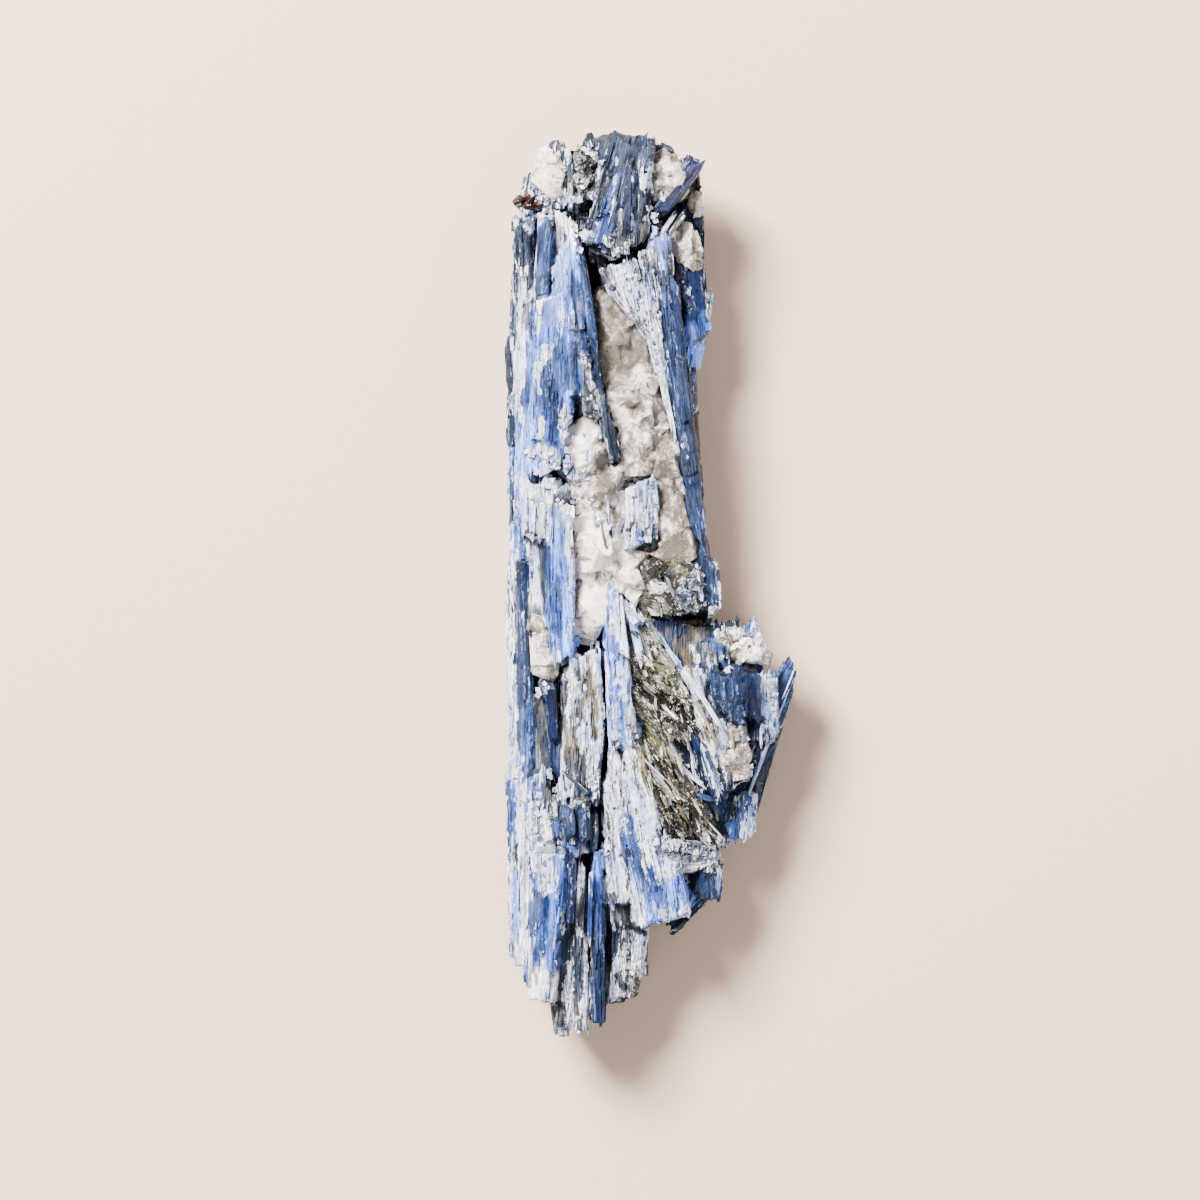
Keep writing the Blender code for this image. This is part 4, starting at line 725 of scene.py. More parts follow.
def addRock(node, bundle, source, seed):
    mesh = remeshed(node, source, rock["voxel"][node])
    points = coordinates(mesh)
    out = normals(mesh)
    blade, margin = bundle.bladeAt(points)
    grain = bundle.grain(points, blade)
    frost = bundle.frost[blade].copy()
    rough = rock["roughness"] + frost

    # the shape
    slabs = latticeNoise(grain * rock["terraceStretch"], rock["terraceWidth"], seed)
    lift = np.round(slabs * rock["terraceSteps"]) / rock["terraceSteps"] * rock["terrace"] * rough
    grooves = np.abs(latticeNoise(grain * rock["grooveStretch"], rock["grooveWidth"], seed + 7))
    lift -= grooves * rock["groove"] * rough
    bump, bumpWidth, tooth, roundLength = rock["crust"][node]
    lift += latticeNoise(points / mm, bumpWidth, seed + 3) * bump * np.maximum(frost, 0.3)
    chips, chipNumbers = chipped(grain, rough, seed)
    lift += chips
    toEnd = np.minimum(grain[:, 1], bundle.length[blade] / mm - grain[:, 1])
    rounded = np.clip(1 - toEnd / roundLength, rock["leastRounding"], 1)
    lift += np.clip(hollowness(mesh, rock["roundingSpread"]), *rock["rounding"]) * rounded
    facingEnd = (out * bundle.along[blade]).sum(axis=1)
    onEnd = np.clip(np.abs(facingEnd) * 3 - 1.4, 0, 1)
    worn = latticeNoise(grain * rock["wearStretch"], rock["wearWidth"], seed + 9) * rock["wear"]
    worn += latticeNoise(points / mm * rock["wearStretch"], rock["broadWearWidth"], seed + 2)
    teeth = (worn - rock["toothMiddle"]) * onEnd * tooth
    moved = bundle.along[blade] * (teeth * np.sign(facingEnd) * mm)[:, None]
    setCoordinates(mesh, points + out * (lift * mm)[:, None] + moved)

    # the tone, frost and painted crevice shade on it
    hollow = hollowness(mesh, rock["hollowSpread"])
    frost += np.clip(-hollow * rock["edgeFrost"], 0, rock["mostEdgeFrost"]) * (0.25 + frost)
    frost += (chipNumbers[:, 0] - 0.5) * rock["chipFrost"]
    # painted shade: darker in hollows, and along the seams where one blade meets the next
    dirt = np.clip(hollow * rock["hollowShade"] - rock["unshadedHollow"], 0, rock["mostShade"])
    dirt = np.maximum(dirt, np.clip(1 - margin / rock["seam"], 0, 1) * rock["seamShade"])
    torn = latticeNoise(grain * rock["toneTearStretch"], rock["toneTearSize"], seed + 4) * rock["toneTear"]
    torn += latticeNoise(grain * rock["toneFrayStretch"], rock["toneFraySize"], seed + 5) * rock["toneFray"]
    tint = bundle.zoneTones(blade, grain[:, 1], torn)
    marked(points, upperShare(out[:, 2], points), tint, frost, dirt)
    tint *= (1 + (chipNumbers[:, 1] - 0.5) * rock["chipTone"])[:, None]
    grain = grain + (points[:, 2] / mm * onEnd)[:, None] * rock["endGrain"]
    painted(mesh, grain=grain, tint=np.minimum(tint, rock["brightest"]), frost=frost, dirt=dirt)
    return mesh


# thin splinters lying on the blades and sticking out of their broken ends
laths = {
    "perArea": 0.22,  # to a square mm of surface
    "width": (0.2, 1.2), "length": (1.2, 9.0), "proud": (0.0, 0.22), "sunk": 0.3, "shortest": 0.9,  # mm
    "fibresPerArea": 0.35,
    "fibreWidth": (0.07, 0.18), "fibreLength": (0.7, 4.0), "fibreProud": (0.1, 0.35),
    "endings": 0.6,  # how squarely a face must cross the grain to be a broken end
    "stubs": 0.3, "stubBack": (0.8, 1.6), "stubWidth": (0.5, 1.4), "stubHeight": (0.4, 1.0),
    "stubOver": (-0.6, 0.1),
    "swing": (0.012, 0.04), "roll": 0.06, "tip": 0.12, "overhang": (0, 0.3),
    "ahead": (0.3, 0.7), "behind": 0.5, "stride": 0.7, "look": 0.6, "touch": 0.4, "sameFace": 0.75,
    "onClear": 0.35, "roughness": (0.4, 0.9),
    "light": (0.86, 1.16), "fibreFrost": (0.0, 0.3), "lathFrost": 0.07,
    "share": {"top_blades": 0.45, "embedded_blade": 0.3},  # of the usual number
    "kinds": 10,
    "skew": 0.09, "slim": (0.15, 0.95), "bow": 0.12, "endHeight": (0.55, 0.9), "crown": (0.92, 1.06),
}


def lathShapes():  # unit laths, with y from 0 to 1 and their ends broken in different ways
    rng = random.Random(11)
    shapes = []
    for _ in range(laths["kinds"]):
        bm = bmesh.new()
        bmesh.ops.create_cube(bm, size=1.0)
        bmesh.ops.translate(bm, vec=(0, 0.5, 0.5), verts=bm.verts)
        for y in (0.07 + 0.05 * rng.random(), 0.5, 0.88 + 0.05 * rng.random()):
            whole = bm.verts[:] + bm.edges[:] + bm.faces[:]
            bmesh.ops.bisect_plane(bm, geom=whole, plane_co=(0, y, 0), plane_no=(0, 1, 0))
        skew = [rng.uniform(-laths["skew"], laths["skew"]) for _ in range(2)]
        slim = [rng.uniform(*laths["slim"]) for _ in range(2)]
        bow = rng.uniform(-laths["bow"], laths["bow"])
        for vert in bm.verts:
            end = 0 if vert.co.y < 0.01 else 1 if vert.co.y > 0.99 else None
            if end is not None:
                vert.co.y += skew[end] * vert.co.x * 2
                vert.co.x *= slim[end]
                vert.co.z *= rng.uniform(*laths["endHeight"])
            elif abs(vert.co.y - 0.5) < 0.01:
                vert.co.x += bow
                vert.co.z *= rng.uniform(*laths["crown"])
            if vert.co.z > 0.4:
                vert.co.x *= 0.8
        bmesh.ops.recalc_face_normals(bm, faces=bm.faces)
        shapes.append(meshFrom("lath", bm))
    return shapes


def reach(tree, start, direction, normal, most, step):  # how far a lath can run before the face ends
    far = 0.0
    while far < most:
        place = start + direction * (far + step)
        found, faceNormal, _, gap = tree.find_nearest(place, laths["look"] * mm)
        if found is None or gap > laths["touch"] * mm or faceNormal.dot(normal) < laths["sameFace"]:
            break
        far += step
    return min(far, most)


def stubPlace(rng, point, along, ending):  # a stub on a broken end
    direction = along * math.copysign(1, ending)
    back = rng.uniform(*laths["stubBack"]) * mm
    width = rng.uniform(*laths["stubWidth"]) * mm
    height = rng.uniform(*laths["stubHeight"]) * mm
    side = direction.cross(Vector((0, 0, 1))).normalized()
    up = side.cross(direction)
    start = point - direction * back - up * height / 2
    length = back + rng.uniform(*laths["stubOver"]) * mm
    return placement(start, side * width, direction * length, up * height)


def lathPlace(rng, tree, point, normal, along, rough, fibre):  # its matrix, or None where it wouldn't lie
    ending = along.dot(normal)
    if abs(ending) > laths["endings"]:
        return None if rng.random() > laths["stubs"] else stubPlace(rng, point, along, ending)
    direction = (along - normal * ending).normalized()
    least, more = laths["swing"]
    direction = Matrix.Rotation(rng.gauss(0, least + more * rough), 3, normal) @ direction
    side = direction.cross(normal).normalized()
    width = logBetween(rng, *laths["fibreWidth" if fibre else "width"], 1.4)
    length = logBetween(rng, *laths["fibreLength" if fibre else "length"])
    low, high = laths["proud"]
    proud = (low + (high - low) * rng.random() ** 1.5) * rough * mm
    if fibre:
        proud = rng.uniform(*laths["fibreProud"]) * rough * mm
    stride = laths["stride"] * mm
    ahead = reach(tree, point, direction, normal, length * rng.uniform(*laths["ahead"]), stride)
    behind = reach(tree, point, -direction, normal, length * laths["behind"], stride)
    for edge in (1, -1):
        if reach(tree, point, side * edge, normal, width / 2, width / 2) < width / 2:
            point = point - side * edge * width * 0.25
            width *= 0.6
    over = rng.uniform(*laths["overhang"]) * mm
    length = ahead + behind + over * 2
    if length < laths["shortest"] * mm:
        return None
    up = Matrix.Rotation(rng.gauss(0, laths["roll"]), 3, direction) @ normal
    direction = (direction + up * rng.gauss(0, laths["tip"]) * mm / length).normalized()
    side = direction.cross(up).normalized()
    start = point - direction * (behind + over) - up * laths["sunk"] * mm
    if rng.random() < 0.5:
        start = start + direction * length
        direction, side = -direction, -side
    height = proud + laths["sunk"] * mm
    return placement(start, side * width, direction * length, side.cross(direction) * height)


def addLaths(node, bundle, source, tree, seed):
    rng = random.Random(seed)
    spots = [(*spot, False) for spot in scattered(source, rng, laths["perArea"])]
    spots += [(*spot, True) for spot in scattered(source, rng, laths["fibresPerArea"])]
    blades, _ = bundle.bladeAt(np.array([spot[0] for spot in spots]))
    least, more = laths["roughness"]
    places, picks, owners, ups, light, whiter = [], [], [], [], [], []
    for (point, normal, fibre), blade in zip(spots, blades):
        frost = bundle.frost[blade]
        if rng.random() > (laths["onClear"] + frost) * laths["share"].get(node, 1.0):
            continue
        place = lathPlace(rng, tree, point, normal, Vector(bundle.along[blade]), least + more * frost, fibre)
        if place is None:
            continue
        places.append(place)
        picks.append(rng.randrange(laths["kinds"]))
        owners.append(blade)
        ups.append(normal.z)
        light.append(rng.uniform(*laths["light"]))
        whiter.append(rng.uniform(*laths["fibreFrost"]) if fibre else rng.gauss(0, laths["lathFrost"]))
    shapes = lathShapes()
    mesh = repeated(node, shapes, picks, places)
    each = len(shapes[0].vertices)
    points = coordinates(mesh)
    blade = np.repeat(owners, each)
    grain = bundle.grain(points, blade)
    grain[:, 2] += np.repeat(np.arange(len(owners)) % 7, each) * 0.06
    torn = latticeNoise(grain * rock["toneTearStretch"], rock["toneTearSize"], seed + 4) * rock["toneTear"]
    tint = bundle.zoneTones(blade, grain[:, 1], torn)
    frost = bundle.frost[blade] + np.repeat(whiter, each)
    dirt = np.zeros(len(points))
    marked(points, upperShare(np.repeat(ups, each), points), tint, frost, dirt)
    tint *= np.repeat(light, each)[:, None]
    painted(mesh, grain=grain, tint=np.minimum(tint, rock["brightest"]), frost=frost, dirt=dirt)
    return mesh


# crystals that lie across the pockets and cracks: start, end and width in steps of the sheet, tone, frost,
# and for some how far they are lifted in mm
needles = {
    "fan_blades": [
        (643, 728, 667, 747, 8, "olive", 0.16), (649, 722, 662, 752, 6, "olive", 0.2),
        (655, 738, 673, 762, 6, "grey", 0.3), (640, 722, 655, 733, 3, "pale", 0.6),
        (644, 658, 680, 682, 8, "slate", 0.05), (652, 672, 676, 686, 7, "olive", 0.1),
        (646, 700, 690, 716, 3, "white", 0.5), (652, 706, 686, 724, 3, "tan", 0.3),
        (649, 622, 664, 646, 5, "pale", 0.5), (660, 634, 687, 681, 6, "slate", 0.35),
        (664, 640, 681, 668, 3, "sky", 0.3), (683, 668, 722, 729, 5, "white", 0.55),
        (696, 700, 719, 748, 3, "tan", 0.2), (693, 712, 721, 786, 2, "white", 0.6),
        (703, 742, 721, 793, 4, "slate", 0.2), (700, 748, 716, 796, 3, "royal", 0.1),
        (709, 756, 722, 782, 2, "white", 0.6), (688, 724, 700, 753, 9, "navy", 0.0),
        (683, 722, 689, 748, 3, "white", 0.8), (679, 766, 704, 786, 5, "white", 0.7),
        (640, 755, 690, 803, 2, "tan", 0.5), (690, 803, 723, 838, 2, "white", 0.5),
        (666, 791, 720, 842, 2, "tan", 0.4), (662, 795, 708, 846, 2, "white", 0.6),
        (666, 792, 660, 808, 2, "white", 0.7), (637, 740, 640, 770, 3, "white", 0.7),
        (640, 768, 650, 796, 3, "tan", 0.4), (646, 656, 676, 678, 5, "slate", 0.2),
        (640, 668, 664, 690, 3, "slate", 0.3), (633, 708, 656, 716, 3, "pale", 0.4),
        (636, 716, 652, 700, 3, "sky", 0.3), (678, 790, 714, 800, 6, "royal", 0.15),
        (606, 650, 610, 590, 10, "pale", 0.75, 0.4), (615, 655, 613, 587, 12, "sky", 0.35, 0.5),
        (624, 655, 617, 592, 11, "white", 0.75, 0.4), (633, 660, 623, 598, 10, "grey", 0.62, 0.3),
        (642, 664, 630, 604, 10, "pale", 0.7, 0.3), (652, 670, 638, 612, 9, "grey", 0.55, 0.2),
        (686, 784, 720, 812, 5, "slate", 0.2), (676, 752, 692, 770, 6, "slate", 0.3),
        (655, 726, 668, 750, 5, "grey", 0.3), (795, 670, 783, 700, 2, "white", 0.4),
        (790, 690, 744, 806, 2, "pale", 0.3), (781, 716, 748, 800, 2, "white", 0.3),
        (644, 630, 654, 650, 3, "grey", 0.4), (648, 636, 660, 656, 3, "white", 0.5),
        (642, 640, 650, 668, 3, "sky", 0.2), (662, 840, 700, 843, 4, "slate", 0.4),
        (688, 851, 722, 858, 5, "grey", 0.4),
    ],
    "top_blades": [
        (700, 163, 661, 215, 12, "ink", 0.0, 0.4), (696, 172, 668, 210, 2, "white", 0.4),
        (689, 200, 670, 226, 5, "slate", 0.2, 0.2), (650, 160, 640, 216, 5, "slate", 0.1),
    ],
    "right_blades": [
        (640, 272, 655, 330, 3, "grey", 0.4), (652, 318, 676, 440, 3, "white", 0.8),
        (662, 234, 676, 212, 5, "slate", 0.4, 0.1), (668, 236, 684, 214, 6, "grey", 0.4, 0.0),
        (662, 250, 664, 290, 4, "grey", 0.2), (672, 560, 690, 600, 4, "pale", 0.5),
        (680, 566, 697, 602, 3, "slate", 0.3), (664, 572, 676, 600, 4, "grey", 0.3),
    ],
    "left_blades": [
        (610, 478, 616, 512, 3, "white", 0.7), (600, 440, 612, 476, 3, "slate", 0.3),
        (575, 232, 584, 262, 3, "slate", 0.3), (583, 862, 577, 940, 3, "grey", 0.4),
        (586, 900, 578, 985, 2, "dark", 0.2), (571, 960, 566, 1010, 3, "white", 0.6),
        (551, 685, 554, 742, 10, "ink", 0.0, 0.4), (573, 853, 570, 928, 8, "ink", 0.03, 2.2),
        (568, 806, 571, 838, 12, "royal", 0.15, 0.3), (582, 808, 583, 840, 9, "navy", 0.15, 0.3),
        (564, 772, 588, 794, 4, "slate", 0.35, 0.2), (612, 470, 615, 528, 5, "slate", 0.4, 0.3),
        (606, 496, 611, 538, 4, "navy", 0.35, 0.3), (600, 520, 606, 548, 3, "grey", 0.5, 0.2),
        (582, 862, 579, 934, 8, "grey", 0.35, 1.8), (591, 872, 589, 944, 5, "blue", 0.35, 1.4),
        (594, 812, 593, 852, 9, "slate", 0.3, 1.4),
    ],
}
needle = {
    "openHeight": 11.0,  # mm, where an end lies over open ground
    "steepest": 1.2,  # mm that one end may lie below the other
    "height": (0.75, 1.0),  # of the width
    "apart": 3.7,
}


def addNeedles(node, tree, seed):
    rng = random.Random(seed)
    places, tint, frost, along = [], [], [], []
    for x, y, xEnd, yEnd, width, tone, white, *lift in needles[node]:
        ends = []
        for plan in (onSheet(x, y), onSheet(xEnd, yEnd)):
            spot = placed(*plan, 0)
            spot.z = cadBox[1][2]
            found = tree.ray_cast(spot, Vector((0, 0, -1)))[0]
            ends.append(found if found else Vector((spot.x, spot.y, needle["openHeight"] * mm)))
        highest = max(ends[0].z, ends[1].z)
        drop = min(abs(ends[0].z - ends[1].z), needle["steepest"] * mm)
        for end in ends:
            end.z = max(end.z, highest - drop)
            end.z += lift[0] * mm if lift else 0.0
        direction = ends[1] - ends[0]
        side = direction.cross(Vector((0, 0, 1))).normalized()
        up = side.cross(direction).normalized()
        thick = width * sheet["step"] * mm
        start = ends[0] - up * thick * 0.5
        height = thick * rng.uniform(*needle["height"])
        places.append(placement(start, side * thick, direction, up * height))
        tint.append(toLinear(tones[tone]))
        frost.append(white)
        along.append(direction.length / mm)
    shapes = lathShapes()
    picks = [i % len(shapes) for i in range(len(places))]
    mesh = repeated(node + "_needles", shapes, picks, places)
    each = len(shapes[0].vertices)
    local = np.concatenate([coordinates(shapes[pick]) for pick in picks])
    size = np.repeat(np.array(along), each)
    number = np.repeat(np.arange(len(places)), each)
    across = local[:, 0] * 0.6 + local[:, 2] * 0.4
    grain = np.stack([across, local[:, 1] * size, number * needle["apart"] + seed], axis=1)
    tint = np.repeat(np.array(tint), each, axis=0)
    painted(mesh, grain=grain, tint=tint, frost=np.repeat(frost, each), dirt=np.zeros(len(local)))
    return mesh


# broken white bits that stick to the crusts
crumb = {
    "kinds": 8, "size": (0.22, 0.75), "lopsided": (0.45, 1.15), "flat": (0.35, 0.8), "stretch": (0.8, 2.0),
    "spin": 0.7, "lean": 0.5, "sunk": 0.2, "frost": (0.9, 0.8, 0.65, 0.4),
    "overrun": 0.1, "spread": 0.5,  # how far they stray past a stroke's ends and sides
    "heapRoom": 1.6,  # mm that a heap keeps below the top
    "apart": 1.7,
}

# where they are, in strokes as above with crumbs to a square mm, and for some how many times larger than
# usual they are and how high they are heaped in mm
crumbs = {
    "left_blades": [
        (533, 456, 578, 470, 9, 2.6), (530, 494, 566, 500, 8, 2.2), (518, 216, 545, 220, 5, 5.0, 1.5, 1.4),
        (546, 212, 562, 216, 3, 5.0, 1.4, 2.0), (566, 428, 580, 446, 7, 2.0), (536, 640, 548, 690, 6, 2.2),
        (590, 700, 594, 790, 6, 1.2), (532, 800, 552, 850, 9, 1.4), (575, 215, 580, 250, 4, 1.4),
        (524, 790, 530, 850, 4, 1.2), (566, 980, 574, 1030, 8, 1.4), (541, 812, 545, 870, 6, 1.2),
        (576, 474, 592, 500, 7, 2.4, 1.8, 0.8), (592, 516, 606, 526, 4, 4.0, 1.4, 2.0),
        (590, 400, 598, 436, 3, 1.8, 1.6), (584, 440, 592, 470, 4, 2.0, 1.6),
        (596, 512, 608, 526, 4, 2.0, 1.4), (544, 476, 562, 492, 6, 7.0, 1.7, 4.2),
        (532, 474, 556, 482, 5, 2.6, 1.5), (562, 488, 572, 500, 5, 6.0, 1.7, 3.6),
        (568, 422, 566, 472, 3, 6.0, 1.2, 3.4), (612, 598, 632, 606, 5, 5.0, 1.6, 2.6),
        (535, 688, 538, 694, 2, 5.0, 1.2, 2.0), (552, 776, 557, 786, 3, 9.0, 1.0, 2.0),
        (640, 541, 656, 547, 3, 5.0, 1.4, 1.4), (630, 482, 642, 476, 3, 9.0, 1.1, 0.8),
    ],
    "right_blades": [
        (632, 262, 634, 300, 11, 2.0), (640, 305, 655, 350, 5, 1.6), (682, 262, 690, 312, 4, 1.8),
        (700, 566, 706, 602, 3, 2.0), (704, 600, 716, 618, 4, 2.2),
    ],
    "fan_blades": [
        (744, 632, 770, 655, 9, 2.6), (768, 680, 776, 715, 5, 2.2), (745, 745, 752, 770, 6, 2.0),
        (735, 725, 750, 742, 5, 2.0), (682, 768, 704, 786, 6, 2.6), (683, 722, 688, 748, 3, 2.0),
        (664, 852, 716, 866, 7, 1.6), (612, 790, 622, 830, 6, 1.2), (735, 800, 752, 830, 6, 1.8),
        (716, 650, 730, 668, 5, 2.0), (634, 945, 640, 990, 7, 1.4), (628, 730, 634, 745, 5, 1.6),
        (698, 832, 722, 850, 6, 2.4, 1.6, 0.8), (664, 846, 716, 856, 7, 3.0, 1.7, 1.0),
    ],
    "top_blades": [
        (540, 178, 556, 206, 8, 2.2), (560, 196, 584, 212, 8, 2.2), (586, 150, 600, 165, 5, 2.6),
        (604, 244, 640, 256, 6, 2.6, 1.4), (600, 246, 640, 252, 5, 5.0, 1.5, 2.2),
        (668, 208, 690, 218, 5, 1.6), (524, 190, 546, 199, 5, 2.4), (575, 203, 587, 236, 5, 6.0, 1.7, 3.2),
        (640, 200, 656, 224, 5, 5.0, 1.5, 2.6), (664, 200, 692, 216, 5, 1.6, 1.4),
    ],
}


def crumbShapes():  # broken bits: lopsided blocks
    rng = random.Random(21)
    shapes = []
    for _ in range(crumb["kinds"]):
        bm = bmesh.new()
        bmesh.ops.create_cube(bm, size=1.0)
        for vert in bm.verts:
            vert.co = Vector([part * rng.uniform(*crumb["lopsided"]) for part in vert.co])
        bmesh.ops.triangulate(bm, faces=bm.faces)
        shapes.append(meshFrom("crumb", bm))
    return shapes


def addCrumbs(node, bundle, tree, seed):
    rng = random.Random(seed)
    places, picks, frost = [], [], []
    top = cadBox[1][2] / mm
    for start, run, half, rest in strokesOf(crumbs[node]):
        perArea, larger, heap = (*rest, *(1.0, 0.0)[len(rest) - 1:])
        area = (np.linalg.norm(run) + 2 * half) * 2 * half
        for _ in range(int(area * perArea)):
            along = rng.uniform(-crumb["overrun"], 1 + crumb["overrun"])
            stray = np.array((rng.gauss(0, crumb["spread"]), rng.gauss(0, crumb["spread"]))) * half
            x, y = start + run * along + stray
            found = tree.ray_cast(placed(x, y, top + 1), Vector((0, 0, -1)))[0]
            if found is None:
                continue
            size = logBetween(rng, *crumb["size"], 1.3) * larger
            spin = Matrix.Rotation(rng.gauss(0, crumb["spin"]), 3, "Z")
            spin = spin @ Matrix.Rotation(rng.gauss(0, crumb["lean"]), 3, "X")
            across, ahead, up = spin.transposed()
            found = found + Vector((0, 0, rng.uniform(-crumb["sunk"], crumb["sunk"]) * size))
            if heap:
                found.z = min(found.z + rng.uniform(0, heap) * mm, (top - crumb["heapRoom"]) * mm)
            flat, stretch = rng.uniform(*crumb["flat"]), rng.uniform(*crumb["stretch"])
            places.append(placement(found, across * size, ahead * (size * stretch), up * (size * flat)))
            picks.append(rng.randrange(crumb["kinds"]))
            frost.append(rng.choice(crumb["frost"]))
    shapes = crumbShapes()
    mesh = repeated(node, shapes, picks, places)
    each = len(shapes[0].vertices)
    points = coordinates(mesh)
    blade, _ = bundle.bladeAt(points)
    grain = points / mm + np.repeat(np.arange(len(picks)), each)[:, None] * (0.0, 0.0, crumb["apart"])
    plain = np.zeros(len(points))
    tint = bundle.zoneTones(blade, bundle.grain(points, blade)[:, 1], plain)
    painted(mesh, grain=grain, tint=tint, frost=np.repeat(frost, each), dirt=plain)
    return mesh


# patterns for the materials
def noiseAlong(tree, vector, scale, detail=3.0, roughness=0.6):  # noise in mm, stretched as scale says
    stretch = addNode(tree, "Mapping", {"Vector": vector, "Scale": scale})
    spread = {"Vector": stretch, "Scale": 1.0, "Detail": detail, "Roughness": roughness}
    return addNode(tree, "TexNoise", spread)


def shaken(tree, vector, scale, amount):  # moves a pattern about, so that its edges are torn
    spread = {"Vector": vector, "Scale": scale, "Detail": 3.0, "Roughness": 0.7}
    noise = addNode(tree, "TexNoise", spread, "Color")
    offset = addNode(tree, "VectorMath", {0: noise, 1: (-0.5, -0.5, -0.5)}, operation="ADD")
    offset = addNode(tree, "VectorMath", {0: offset, 1: amount}, operation="MULTIPLY")
    return addNode(tree, "VectorMath", {0: vector, 1: offset}, operation="ADD")


def cells(tree, vector, scale):  # flat-edged cells: three random numbers in each
    stretch = addNode(tree, "Mapping", {"Vector": vector, "Scale": scale})
    found = addNode(tree, "TexVoronoi", {"Vector": stretch, "Scale": 1.0}, "Color")
    return addNode(tree, "SeparateColor", {"Color": found}).node.outputs


def weighted(tree, start, *terms):  # start + each (value - 0.5) * weight
    total = start
    for value, weight in terms:
        shifted = addNode(tree, "Math", {0: value, 1: weight, 2: -0.5 * weight}, operation="MULTIPLY_ADD")
        total = addNode(tree, "Math", {0: total, 1: shifted}, operation="ADD")
    return total


def product(tree, first, *others):
    total = first
    for other in others:
        total = addNode(tree, "Math", {0: total, 1: other}, operation="MULTIPLY")
    return total


def graded(tree, pattern, low, high, toLow=0.0, toHigh=1.0, added=()):  # a blend, eased between two levels
    ends = {0: weighted(tree, pattern, *added), 1: low, 2: high, 3: toLow, 4: toHigh}
    return addNode(tree, "MapRange", ends, interpolation_type="SMOOTHSTEP")


def lineAt(tree, noise, half, level=0.5):  # 1 on the thin lines where the noise passes a level
    away = addNode(tree, "Math", {0: noise, 1: level}, operation="SUBTRACT")
    away = addNode(tree, "Math", {0: away}, operation="ABSOLUTE")
    return graded(tree, away, half * 0.4, half, 1.0, 0.0)


def layered(tree, colour, *coats):  # lays each coat over the colour where its mask is
    for mask, coat in coats:
        colour = addNode(tree, "Mix", {0: mask, 6: colour, 7: coat}, 2, data_type="RGBA")
    return colour


